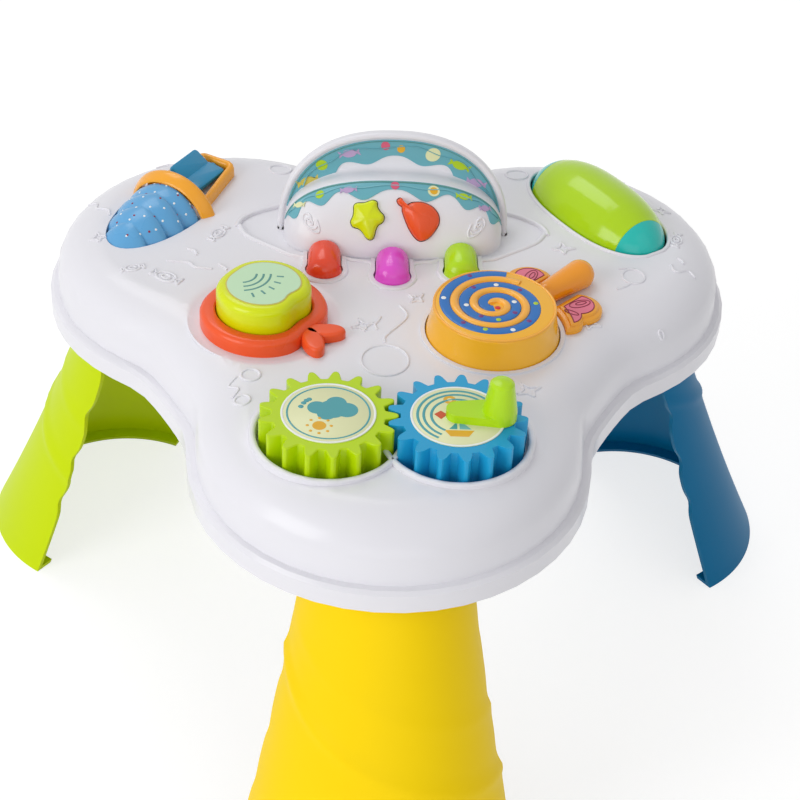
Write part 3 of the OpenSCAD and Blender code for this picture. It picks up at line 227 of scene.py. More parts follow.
def shell(outer, inner):
    """Closed wall between two grids of points of the same shape."""
    rows, columns = outer.shape[:2]
    half = rows * columns
    points = np.vstack([outer.reshape(-1, 3), inner.reshape(-1, 3)])
    faces = []
    for i in range(rows - 1):
        for j in range(columns - 1):
            a, b = i * columns + j, i * columns + j + 1
            c, d = b + columns, a + columns
            faces.append((a, b, c, d))
            faces.append((half + d, half + c, half + b, half + a))
    edge = [(0, j) for j in range(columns)] + [(i, columns - 1) for i in range(1, rows)]
    edge += [(rows - 1, j) for j in range(columns - 2, -1, -1)] + [(i, 0) for i in range(rows - 2, 0, -1)]
    loop = [i * columns + j for i, j in edge]
    for a, b in zip(loop, loop[1:] + loop[:1]):
        faces.append((b, a, half + a, half + b))
    return points, faces


def joined(*parts):
    """Several meshes as one list of points and one of faces."""
    points, faces, start = [], [], 0
    for spots, shapes in parts:
        points.append(spots)
        faces += [tuple(start + i for i in face) for face in shapes]
        start += len(spots)
    return np.vstack(points), faces


def new_mesh(name, points, edges=(), faces=(), place=None):
    mesh = bpy.data.meshes.new(name)
    mesh.from_pydata(to_world(points, place).tolist(), edges, faces)
    return mesh


def new_object(name, data):
    thing = bpy.data.objects.new(name, data)
    bpy.context.collection.objects.link(thing)
    return thing


def edit(mesh, *changes):
    """Runs functions that each change the mesh as a bmesh."""
    work = bmesh.new()
    work.from_mesh(mesh)
    for change in changes:
        change(work)
    work.to_mesh(mesh)
    work.free()


def merge_doubles(work):
    bmesh.ops.remove_doubles(work, verts=work.verts, dist=MERGE)


def face_outwards(work):
    bmesh.ops.recalc_face_normals(work, faces=work.faces)


def join_flat_faces(work):
    bmesh.ops.dissolve_limit(work, angle_limit=math.radians(0.2), verts=work.verts, edges=work.edges)


def shade(mesh, material, sharp):
    """Shades smooth between edges sharper than the angle."""
    mesh.shade_smooth()
    mesh.set_sharp_from_angle(angle=math.radians(sharp))
    mesh.materials.clear()
    mesh.materials.append(material)


def settle(thing, modifier):
    """Keeps a modifier's result as a plain mesh."""
    bpy.context.view_layer.update()
    ready = thing.evaluated_get(bpy.context.evaluated_depsgraph_get())
    mesh = bpy.data.meshes.new_from_object(ready)
    thing.modifiers.remove(modifier)
    thing.data = mesh
    return mesh


def ride_piece(thing, body, stands_for=()):
    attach(thing, body)
    if stands_for:
        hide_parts(*stands_for)
    return thing


def solid(name, shape, material, place=None, sharp=38.0):
    """An object from points and faces in a place's millimetres."""
    points, faces = shape
    mesh = new_mesh(name, points, (), faces, place)
    edit(mesh, merge_doubles, face_outwards)
    shade(mesh, material, sharp)
    return new_object(name, mesh)


def less(thing, cutter, sharp=38.0):
    """Cuts one closed solid out of another and drops the cutter."""
    step = thing.modifiers.new("hole", "BOOLEAN")
    step.object, step.operation, step.solver = cutter, "DIFFERENCE", "EXACT"
    mesh = settle(thing, step)
    bpy.data.objects.remove(cutter)
    edit(mesh, merge_doubles, face_outwards)
    shade(mesh, mesh.materials[0], sharp)


def round_edges(thing, width, sharp):
    """Small radius on a moulding's edges, with normals that keep its flat faces flat."""
    if width:
        bevel = thing.modifiers.new("edge_radius", "BEVEL")
        bevel.limit_method, bevel.angle_limit = "ANGLE", math.radians(sharp)
        bevel.width, bevel.segments, bevel.miter_outer = width * MM, 2, "MITER_ARC"
    thing.modifiers.new("flat_faces", "WEIGHTED_NORMAL").keep_sharp = True


def piece(name, body, shape, material, place=None, stands_for=(), sharp=38.0, bevel=0.0):
    """A finished object from points and faces."""
    thing = solid(name, shape, material, place, sharp)
    if bevel:
        round_edges(thing, bevel, sharp)
    return ride_piece(thing, body, stands_for)


def stand_in(node, shape, place=None, sharp=40.0, bevel=0.0, material=None, name=None):
    """A finished object in a CAD piece's place, on the same body and in the same slot."""
    body, slot = frame["nodes"][node]["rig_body"], SLOT_OF[node]
    name, material = name or node + "_finished", material or SLOT_FINISHES[slot]
    return piece(name, body, shape, material, place, (node,), sharp, bevel)


def dressed(node, width=0.0, sharp=32.0):
    """A copy of a CAD piece with its doubles merged and its edges rounded, shown in the CAD piece's place."""
    slot = SLOT_OF[node]
    source = frame["nodes"][node]
    mesh = source.data.copy()
    mesh.name = node + "_finished"
    edit(mesh, merge_doubles, join_flat_faces)
    for attribute in ("custom_normal", "sharp_face", "sharp_edge"):
        if attribute in mesh.attributes:
            mesh.attributes.remove(mesh.attributes[attribute])
    shade(mesh, SLOT_FINISHES[slot], sharp)
    thing = new_object(node + "_finished", mesh)
    round_edges(thing, width, sharp)
    return ride_piece(thing, source["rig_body"], (node,))


# ---- outlines, as functions of how far they stand in, and forms over them ----


def polar(radius_of, steps=120):
    """An outline from a radius as a function of the angle in degrees, from -180 to 180."""
    angles = np.linspace(-180, 180, steps, endpoint=False)

    def outline(inset=0.0):
        reach = radius_of(angles) - inset
        turned = np.radians(angles)
        return np.c_[reach * np.cos(turned), reach * np.sin(turned)]

    return outline


def circles_outline(circles, steps):
    """The outline of overlapping circles (x, y, radius), seen from the first one's centre."""
    x0, y0 = circles[0][:2]

    def reach(angles):
        turned = np.radians(angles)
        best = np.zeros(len(turned))
        for x, y, r in circles:
            along = (x - x0) * np.cos(turned) + (y - y0) * np.sin(turned)
            off = (x - x0) * np.sin(turned) - (y - y0) * np.cos(turned)
            inside = r * r - off * off
            best = np.maximum(best, np.where(inside > 0, along + np.sqrt(np.maximum(inside, 0)), 0))
        return best

    around = polar(reach, steps)
    return lambda inset=0.0: around(inset) + np.array((x0, y0))


def at_height(outline, height):
    return np.c_[np.asarray(outline, float), np.full(len(outline), float(height))]


def rounded(top, radius, steps=5, inset=0.0):
    """Levels of a rounded upper edge: (inset, height)."""
    turns = [math.pi / 2 * k / steps for k in range(steps + 1)]
    return [(inset + radius * (1 - math.cos(t)), top - radius + radius * math.sin(t)) for t in turns]


def raised(outline, levels, capped=True):
    """A form that rises through levels of (inset, height) over an outline."""
    return loft([at_height(outline(inset), height) for inset, height in levels], capped)


def plate(outline, low, high):
    return loft([at_height(outline, low), at_height(outline, high)])


def revolve(profile, steps=96):
    """A form turned about the vertical from (radius, height) pairs listed upwards along its skin."""
    turns = np.linspace(0, 2 * math.pi, steps, endpoint=False)
    return loft([np.c_[r * np.cos(turns), r * np.sin(turns), np.full(steps, float(h))] for r, h in profile])


def stem(high, low=DOME_TOP):
    """The plunger that reaches down to a button's rubber dome."""
    return revolve([(STEM_RADIUS, low), (STEM_RADIUS, high)], 24)


def ring(radius, steps=96, start=0.0, sweep=360.0):
    """Points of a circle or an arc in the plane."""
    turns = np.radians(start + np.linspace(0, sweep, steps, endpoint=sweep < 360))
    return np.c_[radius * np.cos(turns), radius * np.sin(turns)]


def curve_legs(corners, per_leg):
    """Points of a smooth curve, from the four points that guide each of its legs."""
    made = []
    for a, b, c, d in corners:
        for t in np.linspace(0, 1, per_leg, endpoint=False):
            made.append(0.5 * (2 * b + (c - a) * t + (2 * a - 5 * b + 4 * c - d) * t * t
                               + (3 * b - a - 3 * c + d) * t ** 3))
    return made


def smooth_line(points, per_leg=8):
    """A smooth curve through the points."""
    points = [np.asarray(p, float) for p in points]
    padded = [2 * points[0] - points[1], *points, 2 * points[-1] - points[-2]]
    return np.array(curve_legs(zip(padded, padded[1:], padded[2:], padded[3:]), per_leg) + [points[-1]])


def closed_curve(points):
    """A smooth closed outline through the points."""
    points = np.asarray(points, float)
    return np.array(curve_legs(zip(*(np.roll(points, -k, 0) for k in (-1, 0, 1, 2))), 6))


def inset_curve(curve, shift):
    """Outlines that stand in from a shifted curve, or out of it for a negative inset."""
    curve = curve + shift
    ahead = np.roll(curve, -1, 0) - np.roll(curve, 1, 0)
    ahead /= np.linalg.norm(ahead, axis=1)[:, None]
    inwards = np.c_[-ahead[:, 1], ahead[:, 0]]
    return lambda inset=0.0: curve + inwards * inset


# ---- Geometry Nodes: lines along paths, dots on points, sprinkles on a surface ----


def new_tree(name, sockets):
    """A node tree that takes and gives geometry, with named inputs and a material."""
    tree = bpy.data.node_groups.new(name, "GeometryNodeTree")
    tree.interface.new_socket("Geometry", in_out="OUTPUT", socket_type="NodeSocketGeometry")
    for title, kind in {"Geometry": "Geometry", **sockets, "Material": "Material"}.items():
        tree.interface.new_socket(title, in_out="INPUT", socket_type="NodeSocket" + kind)
    return tree, tree.nodes.new("NodeGroupInput")


def end_tree(tree, given, made):
    """Every tree ends in Realize Instances, smooth shading and Set Material."""
    smooth = tree.nodes.new("GeometryNodeSetShadeSmooth")
    real = tree.nodes.new("GeometryNodeRealizeInstances")
    paint = tree.nodes.new("GeometryNodeSetMaterial")
    output = tree.nodes.new("NodeGroupOutput")
    wire(tree, (made, 0, real, 0), (real, 0, smooth, 0), (smooth, 0, paint, "Geometry"),
         (given, "Material", paint, "Material"), (paint, 0, output, 0))
    return tree


def raised_line_tree():
    """A rounded bead of a given width and height along every line of a mesh."""
    tree, given = new_tree("raised_line", {"Width": "Float", "Height": "Float"})
    curve = tree.nodes.new("GeometryNodeMeshToCurve")
    upright = add_node(tree, "GeometryNodeSetCurveNormal", mode="Z_UP")
    section = add_node(tree, "GeometryNodeCurvePrimitiveCircle", {"Resolution": 10, "Radius": 0.5})
    size = tree.nodes.new("ShaderNodeCombineXYZ")
    stretch = tree.nodes.new("GeometryNodeTransform")
    sweep = add_node(tree, "GeometryNodeCurveToMesh", {"Fill Caps": True})
    wire(tree, (given, "Geometry", curve, 0), (curve, 0, upright, "Curve"), (given, "Width", size, "X"),
         (given, "Height", size, "Y"), (size, 0, stretch, "Scale"), (section, "Curve", stretch, "Geometry"),
         (upright, 0, sweep, "Curve"), (stretch, 0, sweep, "Profile Curve"))
    return end_tree(tree, given, sweep)


def dome_tree(name, segments, rings, strewn=False):
    """A low dome on every point of a mesh, or strewn over a surface at a least spacing and square to it."""
    spread = {"Spacing": "Float", "Seed": "Int"} if strewn else {}
    tree, given = new_tree(name, {**spread, "Radius": "Float", "Height": "Float"})
    ball = add_node(tree, "GeometryNodeMeshUVSphere", {"Segments": segments, "Rings": rings, "Radius": 1.0})
    size = tree.nodes.new("ShaderNodeCombineXYZ")
    place = tree.nodes.new("GeometryNodeInstanceOnPoints")
    wire(tree, (given, "Radius", size, "X"), (given, "Radius", size, "Y"), (given, "Height", size, "Z"),
         (ball, "Mesh", place, "Instance"), (size, 0, place, "Scale"))
    if strewn:
        strew = add_node(tree, "GeometryNodeDistributePointsOnFaces", {"Density Max": 60000.0},
                         distribute_method="POISSON")
        wire(tree, (given, "Geometry", strew, "Mesh"), (given, "Spacing", strew, "Distance Min"),
             (given, "Seed", strew, "Seed"), (strew, "Points", place, "Points"),
             (strew, "Rotation", place, "Rotation"))
    else:
        wire(tree, (given, "Geometry", place, "Points"))
    return end_tree(tree, given, place)


RAISED_LINE = raised_line_tree()
DOTS, SPRINKLES = dome_tree("dots_on_points", 16, 8), dome_tree("sprinkles", 10, 6, True)


def grown(name, body, seed_mesh, tree, material, sizes, stands_for=()):
    """Runs a tree on a mesh and keeps its result as a plain mesh."""
    thing = new_object(name, seed_mesh)
    modifier = thing.modifiers.new("grow", "NODES")
    modifier.node_group = tree
    names = {s.name: s.identifier for s in tree.interface.items_tree if s.in_out == "INPUT"}
    for title, value in {**sizes, "Material": material}.items():
        modifier[names[title]] = value
    settle(thing, modifier)
    return ride_piece(thing, body, stands_for)


def beads(name, body, lines, width, height, material, place=None, stands_for=()):
    """A bead along each line of points; a line given as (points, True) closes on itself."""
    points, edges = [], []
    for line, closed in lines:
        start, count = len(points), len(line)
        points += list(line)
        edges += [(start + k, start + k + 1) for k in range(count - 1)]
        if closed:
            edges.append((start + count - 1, start))
    seed = new_mesh(name, points, edges, (), place)
    sizes = {"Width": width * MM, "Height": 2 * height * MM}
    return grown(name, body, seed, RAISED_LINE, material, sizes, stands_for)


def dots(name, body, points, radius, height, material, place=None):
    sizes = {"Radius": radius * MM, "Height": height * MM}
    return grown(name, body, new_mesh(name, points, place=place), DOTS, material, sizes)


# ---- tray ----

# Raised stars and sweets: the place of each middle, its size and its turn.
DECK_STARS = [(-16.5, -42, 7, 20), (15, -13.5, 6, 50), (105, 44, 7.5, 5), (113.5, -33.5, 7, -5),
              (74.5, -98.5, 8, 30), (-118, 116, 7, 10), (150, 46, 6, 40), (96, 112, 7, 0), (-176, 42, 6, 15),
              (-60, 98, 6.5, 25), (171, 92, 6, 0)]
DECK_SWEETS = [(-131.6, 1.6, 6.5, -30), (-104.5, 50, 5.5, 62), (-152, 10, 4.5, 20), (176, 58, 5.0, 75)]
DECK_STROKES = [
    [(-132.6, 18.8), (-119.6, 17.4), (-115.6, 12.9), (-105.5, 11.3)],
    [(-101.8, 16.3), (-98, 13.0), (-96.6, 10.7)], [(-121.5, 32), (-117, 30), (-115.4, 25.8)],
    [(-3.7, -57.5), (-3.0, -51.2), (7.4, -36), (9.0, -29.2), (5.1, -21.1)],
    [(-7.9, -45.4), (-9.2, -41), (-7.2, -36.5), (-6, -32.8)],
    [(168.9, 30.2), (170, 24.6), (172.9, 23.6), (178.9, 27.2), (183.2, 23.5)],
    [(174.1, 38), (176.6, 35.6), (177.2, 32.5)], [(136.9, 24.2), (142, 24.6), (148, 23.4)],
    [(133.4, 2.1), (138, 4.6), (142.5, 8.6)], [(-84.9, -92.3), (-88.6, -99), (-83, -103), (-86, -110)],
    [(-188, 90), (-182, 84), (-181, 77), (-174, 74), (-172, 67)],
    [(-150, 132), (-143, 135), (-138, 131), (-131, 134)], [(62, -88), (66, -92), (64, -97)],
    [(132, 128), (139, 131), (145, 127), (152, 129)]]
# Raised ovals: the place of each middle, and its half widths.
DECK_OVALS = [(-3.7, -74.4, 13.2, 14.2), (-77.1, -91, 5.2, 5.2), (-80.4, -113, 4.2, 4.2),
              (144.8, 16.1, 6.6, 7.6), (82, 130, 7, 6), (-70, 128, 7, 6), (157.9, -24.8, 1.6, 1.6)]


def key_outline(grow, steps=18):
    """A key's opening: straight sides at the back and a round front."""
    half, back, front, bulb = 9.8 + grow, 14 + grow, -3.2, 10.8 + grow
    turns = np.radians(np.linspace(180, 360, steps + 1))
    nose = np.c_[bulb * np.cos(turns), front + bulb * np.sin(turns)]
    return np.vstack([[(half, back), (-half, back), (-half, front + 4)], nose, [(half, front + 4)]])


def roller_outline(grow, half_long=55.4, radius=27.6, steps=41):
    """The roller's opening in the deck."""
    s = half_long * 0.98 * np.sin(np.linspace(-math.pi / 2, math.pi / 2, steps))
    skin = radius * np.sqrt(np.maximum(1 - np.abs(s / half_long) ** 2.6, 0))
    half = np.sqrt(np.maximum(skin ** 2 - 25, 0)) + grow
    along = s * (1 + grow / half_long)
    return np.vstack([np.c_[along, half], np.c_[along[::-1], -half[::-1]]])


def pronged_star(x, y, size, turn):
    """A raised outline star with four prongs, as two short strokes each."""
    strokes = []
    for k, reach in enumerate((1.0, 0.95, 0.9, 0.75)):
        a = math.radians(turn + 90 * k)
        tip = (x + size * reach * math.cos(a), y + size * reach * math.sin(a))
        for b in (a - math.pi / 4, a + math.pi / 4):
            waist = (x + 0.34 * size * math.cos(b), y + 0.34 * size * math.sin(b))
            strokes.append((at_height([waist, tip], DECK), False))
    return strokes


def raised_sweet(x, y, size, turn):
    """A raised wrapped sweet: an oval with a fan at each end."""
    lines = [ring(1.0, 28) * (size, 0.66 * size), ring(0.45 * size, 16) * (1, 0.7)]
    for side in (-size, size):
        lines.append([(side, 0.0), (side * 1.55, 0.5 * size), (side * 1.5, 0.0), (side * 1.55, -0.5 * size)])
    return [(moved(at_height(line, 0), spot(x, y, DECK, turn)), True) for line in lines]


def deck_outlines():
    """The raised lines strewn over the deck."""
    lines = []
    for star in DECK_STARS:
        lines += pronged_star(*star)
    for sweet in DECK_SWEETS:
        lines += raised_sweet(*sweet)
    lines += [(at_height(smooth_line(path), DECK), False) for path in DECK_STROKES]
    for x, y, wide, deep in DECK_OVALS:
        lines.append((at_height(ring(1.0, 40) * (wide, deep) + (x, y), DECK), True))
    swirl = [(r * math.cos(t) + 118, r * 0.8 * math.sin(t) + 118) for r, t in
             ((1.2 + 0.5 * k, 0.55 * k) for k in range(20))]
    return lines + [(at_height([(sign * x, y) for x, y in swirl], DECK), False) for sign in (-1, 1)]


def cake_lip():
    """The raised line along the cake's hollow, running in front of each key."""
    around = key_outline(2.2)[2:-1]
    left, middle, right = ([(x - 12.0, y + 9.0), *(around + (x, y)), (x + 12.0, y + 9.0)]
                           for x, y in KEY_PLACES.values())
    path = [(-92, 60), (-88, 50), (-80, 43), (-70, 36), (-60, 29), *left, (-22, 24.5), (-16, 24.0), *middle,
            (18, 24.5), (25, 25.5), *right, (62, 30), (72, 37), (82, 44), (90, 51), (95, 60)]
    arc = ring(1.0, 40, -2, 88) * (95, 36)
    arcs = [[(side * x + CAKE_X, y + CAKE_Y) for x, y in arc] for side in (-1, 1)]
    return [(at_height(line, DECK), False) for line in (smooth_line(path, 3), *arcs)]


def on_skin(lines, cut=True, lowest=24.0, step=2.0):
    """Lines laid on the tray's skin in short steps, and cut off where it falls below the lowest level."""
    mesh = frame["nodes"]["top_shell"].data
    skin = BVHTree.FromPolygons([v.co for v in mesh.vertices], [p.vertices for p in mesh.polygons])
    laid = []
    for line, closed in lines:
        path = np.vstack([line, line[:1]]) if closed else line
        fine = []
        for a, b in zip(path, path[1:]):
            parts = max(1, math.ceil(math.dist(a, b) / step))
            fine += [a + (b - a) * k / parts for k in range(parts)]
        if not closed:
            fine.append(path[-1])
        runs = [[]]
        for x, y, z in fine:
            hit = skin.ray_cast(Vector(to_world((x, y, DECK + 40))), Vector((0, 0, -1)))[0]
            height = (hit.z - RIM_HEIGHT) / MM if hit else 0.0
            if height >= lowest:
                runs[-1].append((x, y, height))
            elif cut:
                runs.append([])
            else:
                runs[-1].append((x, y, z))
        laid += [(np.array(run), closed and len(runs) == 1) for run in runs if len(run) > 1]
    return laid


def make_tray():
    """The white tray with its raised lips and outlines."""
    dressed("top_shell", 0.0, sharp=34)
    lips = [(moved(at_height(ring(POCKET_RADIUS, 120), DECK), ON_LOLLY), True)]
    lips += on_skin([(moved(at_height(roller_outline(2.0), DECK), ON_ROLLER), True)], False)
    collars = [(at_height(ring(POCKET_RADIUS) + (s * GEAR_X, GEAR_Y), DECK + 1.4), True) for s in (-1, 1)]
    beads("deck_lips", "table", lips, 2.6, 1.2, WHITE)
    beads("cake_hollow_lip", "table", cake_lip(), 3.2, 1.2, WHITE)
    beads("deck_motifs", "table", on_skin(deck_outlines()), 1.6, 0.9, WHITE)
    beads("gear_collar_rims", "table", collars, 3.4, 1.0, WHITE)


# ---- legs ----

LEG_AXIS, LEG_TILT = 157.6, math.radians(12)
LEG_WALL, FOOT_LIP, FOOT_THICK = 3.0, 9.0, 3.0
NECK_HALF, NECK_DROP = 40.5, 20.0
EDGE_DIPS = ((46, 2.4), (86, 3.6), (122, 3.0), (156, 2.2))
LEG_RIBS = ((104, 26, 1.7), (70, 22, 0.8))
FLOOR_DROP = 220.0


def leg_radius(h):
    return 43.4 + 0.13 * h + 0.00028 * h * h


def leg_point(phi, drop, inward=0.0):
    """A point of the leg's skin: phi round its axis, drop below the rim."""
    h = drop
    for _ in range(20):
        h = (drop + (leg_radius(h) - inward) * math.cos(phi) * math.sin(LEG_TILT)) / math.cos(LEG_TILT)
    reach = leg_radius(h) - inward
    x = LEG_AXIS + h * math.sin(LEG_TILT) + reach * math.cos(phi) * math.cos(LEG_TILT)
    z = -h * math.cos(LEG_TILT) + reach * math.cos(phi) * math.sin(LEG_TILT)
    return x, reach * math.sin(phi), z


def leg_edge(side, drop):
    """The half angle of the leg's edge at a level: a narrow neck, then a wavy edge down to the foot."""
    neck = math.asin(NECK_HALF / leg_radius(max(drop, 0) + 8))
    dip = sum(depth * math.exp(-((drop - at - 6 * side) / 7) ** 2) for at, depth in EDGE_DIPS)
    blend = min(max((drop - NECK_DROP + 1.5) / 5.0, 0), 1)
    return neck + (math.radians(82) - math.radians(dip) - neck) * blend * (2 - blend)


def rib_height(phi, drop):
    """Two slanting ribs that run round the leg's outer face."""
    height = sum(tall * math.exp(-((drop - level - slope * phi) / 4.2) ** 2)
                 for level, slope, tall in LEG_RIBS)
    return height * min(1, max(0, (drop - 30) / 25))


def make_leg(node):
    """A shell leg: neck, ears, wavy edges, slanting ribs and a lip turned in at the foot."""
    drops = [-3, 4, 12, 17, 18.5, 19.2, 20, 21, 22, 23.5, 26, 30, 36, *np.linspace(42, FLOOR_DROP, 52)]

    def skin(drop, inward, lift=0.0, ribs=True):
        row = []
        for u in np.linspace(-1, 1, 61):
            phi = u * leg_edge(1 if u > 0 else -1, drop)
            out = rib_height(phi, drop) if ribs else 0.0
            row.append(leg_point(phi, drop - lift, inward - out))
        return row

    folded = LEG_WALL + FOOT_LIP
    outer = [skin(d, 0) for d in drops] + [skin(FLOOR_DROP, folded, 0, False)]
    inner = [skin(d, LEG_WALL, ribs=d < FLOOR_DROP - 12) for d in drops[:-1]]
    inner += [skin(FLOOR_DROP, inward, FOOT_THICK, False) for inward in (LEG_WALL, folded)]
    rim = [leg_point(u * leg_edge(1, -3), -3, LEG_WALL)[:2] for u in np.linspace(-1, 1, 41)]
    shape = joined(shell(np.array(outer), np.array(inner)), plate(rim, 0.0, 3.0))
    stand_in(node, shape, Matrix.Rotation(math.radians(LOBES[node]), 4, "Z"), 40, 0.6)


# ---- cake ----

LOWER_HALF, LOWER_DEPTH, LOWER_HIGH = 66.5, 32.0, 38.0
LOWER_CENTRE = (LOWER_HALF ** 2 - LOWER_HIGH ** 2) / (2 * LOWER_HIGH)
LOWER_SQUARE, UPPER_SQUARE = 2.45, 2.3
UPPER_HALF, UPPER_HIGH, UPPER_LEAN = 70.5, 60.0, 11.0
UPPER_TOP = UPPER_HIGH / math.cos(math.radians(UPPER_LEAN)) + 1.2
CAKE_FLOOR, CAKE_BACK, CAKE_WALL = DECK - 1.2, CAKE_Y + 38.0, 2.5
ON_UPPER = Matrix.Translation((CAKE_X, CAKE_Y + 2, CAKE_FLOOR)) @ Matrix.Rotation(
    math.radians(90 - UPPER_LEAN), 4, "X")
# Behind its widest line the lower tier rounds over a ledge and sweeps up to the upper tier: (s, height).
LEDGE = ((-11.5, 47.0), (-10.6, 42.0), (-9.6, 39.4), (-8.2, 37.9), (-6.4, 37.4), (-4.4, 37.6), (-2.2, 38.0),
         (0.0, 38.0))
# The upper tier's section from its face over the rim and down its back: (inset, lift).
HOOD = ((5.5, 0.0), (4.0, 0.0), (3.6, 0.3), (3.1, 0.85), (2.5, 1.15), (1.8, 1.2), (1.1, 1.0), (0.5, 0.5),
        (0.15, -0.3), (0.0, -1.4), (0.0, -4.0), (0.5, -6.5), (1.6, -9.5), (3.2, -12.5), (5.4, -16.0),
        (8.4, -20.0), (12.0, -24.0), (16.0, -28.0), (20.5, -31.5), (26.0, -35.0))


def oval(t, a, b, square):
    x, y = math.cos(math.radians(t)), math.sin(math.radians(t))
    return (a * math.copysign(abs(x) ** (2 / square), x), b * math.copysign(abs(y) ** (2 / square), y))


def lower_radius(s):
    u = max(s, 0) / LOWER_DEPTH
    return math.sqrt(LOWER_CENTRE ** 2 + LOWER_HALF ** 2 * max(1 - u * u, 0))


def upper_spot(t, depth, lift):
    """On the upper tier's front: t round its arch, depth in from its edge, lift out of it."""
    x, y = oval(t, UPPER_HALF - depth, UPPER_TOP - depth, UPPER_SQUARE)
    return x, y, lift


def lower_arch(s, inward=0.0):
    """Half width and height of the lower tier's arch, s in front of its widest line."""
    deep = LOWER_DEPTH - inward
    u = min(max(s, 0) / deep, 1)
    half = (LOWER_HALF - inward) * (1 - u ** 3.2) ** (1 / 3.2)
    if s < 0:
        high = float(np.interp(s, *zip(*LEDGE)))
    else:
        high = lower_radius(s * LOWER_DEPTH / deep) - LOWER_CENTRE
    return half, high - inward * (1 - 0.6 * u)


def lower_spot(t, s, lift):
    """On the lower tier's skin: t round its arch, s in front of its widest line, lift out of it."""
    half, high = lower_arch(s)
    slope = (lower_arch(s - 0.4)[1] - lower_arch(s + 0.4)[1]) / 0.8
    share = math.sin(math.radians(t)) / math.hypot(1, slope)
    x, z = oval(t, half + lift, high + lift * share, LOWER_SQUARE)
    return CAKE_X + x, CAKE_Y - s - lift * slope * share, DECK + z


def icing_band(spot_on, end, near, deep, wave, period, lift, thick):
    """A band of icing with a wavy lower edge, narrow in the middle, that runs out at both ends."""
    grids = []
    for level in (lift + thick, lift):
        rows = []
        for share in np.linspace(0, 1, 7):
            row = []
            for t in np.linspace(end, 180 - end, 161):
                ends = min(1.0, (t - end) / 14 + 0.05, (180 - end - t) / 14 + 0.05)
                drip = (deep - wave * math.cos(2 * math.pi * (t - 90) / period)) * ends
                row.append(spot_on(t, near + (0.2 + drip) * share, level))
            rows.append(row)
        grids.append(np.array(rows))
    return shell(*grids)


def tier_shell():
    """The lower tier's wall, open below and behind."""
    fronts = LOWER_DEPTH * np.sin(np.radians(np.linspace(3, 89, 30)))
    grids = []
    for inward in (0.0, CAKE_WALL):
        rows = []
        for s in (*(s for s, _ in LEDGE), *(fronts * (1 - inward / LOWER_DEPTH))):
            half, high = lower_arch(s, inward)
            arch = [oval(t, half, max(high, 0.4), LOWER_SQUARE) for t in np.linspace(0, 180, 73)]
            row = [(half, CAKE_FLOOR - DECK), *arch, (-half, CAKE_FLOOR - DECK)]
            rows.append([(CAKE_X + x, CAKE_Y - s, DECK + z) for x, z in row])
        grids.append(np.array(rows))
    return shell(*grids)


def hood():
    """The upper tier: a flat leaning face inside a rounded rim, and a back that falls away."""
    rings = []
    for inset, lift in HOOD:
        arch = [upper_spot(t, inset, lift) for t in np.linspace(0, 180, 91)]
        low = [(UPPER_HALF - inset, -12.0, lift), *arch, (inset - UPPER_HALF, -12.0, lift)]
        spots = moved(low, ON_UPPER)
        spots[:, 1] = np.minimum(spots[:, 1], CAKE_BACK)
        spots[:, 2] = np.maximum(spots[:, 2], CAKE_FLOOR + 0.2)
        rings.append(spots)
    return loft(rings)


def unit(vector):
    return vector / np.linalg.norm(vector)


def badge(spot_on, t, depth, lift, outline, turn, grow):
    """A flat printed motif laid on a tier: outline in millimetres, turned, round the point t, depth."""
    centre = np.array(spot_on(t, depth, lift))
    side = unit(np.array(spot_on(t - 1.0, depth, lift)) - centre)
    down = unit(np.array(spot_on(t, depth + 1.0, lift)) - centre)
    out = unit(np.cross(down, side))
    c, s = math.cos(math.radians(turn)) * grow, math.sin(math.radians(turn)) * grow
    return loft([[centre + out * level + side * (c * x - s * y) + down * (s * x + c * y) for x, y in outline]
                 for level in (-0.4, 0.12)])


def wrapped_sweet():
    """The outline of a wrapped sweet: half an oval and a twist of paper at each side."""
    twist = [(0.95, -0.14), (1.55, -0.55), (1.42, 0.0), (1.55, 0.55), (0.95, 0.14)]
    half = twist + [tuple(p) for p in ring(1.0, 28)[1:14] * (1.0, 0.62)]
    return np.array(half + [(-x, -y) for x, y in half])


SWEET, DISC = wrapped_sweet(), ring(1.0, 24)
# Printed sweets: (degrees round the arch, depth from its edge, tint, outline, turn, half width).
UPPER_SWEETS = [(148, 10.0, "tan", SWEET, 35, 4.6), (133, 8.8, "lime", DISC, 0, 3.4),
                (114, 9.6, "lilac", SWEET, 8, 4.2), (94, 8.0, "rose", DISC, 0, 2.7),
                (88, 9.8, "amber", DISC, 0, 2.4), (71, 10.4, "cream", DISC, 0, 4.4),
                (71, 10.4, "amber", DISC, 0, 3.0), (53, 9.8, "lime", SWEET, -12, 4.4),
                (36, 10.8, "lilac", SWEET, -38, 4.2)]
LOWER_SWEETS = [(128, 9.2, "lime", DISC, 0, 2.7), (110, 9.8, "lilac", SWEET, 0, 3.4),
                (90, 8.0, "rose", DISC, 0, 2.6), (74, 9.6, "cream", DISC, 0, 3.6),
                (74, 9.6, "amber", DISC, 0, 2.4), (56, 9.0, "lime", SWEET, -10, 3.4),
                (38, 10.0, "lilac", SWEET, -30, 3.0), (146, 9.6, "cream", SWEET, 30, 3.0)]


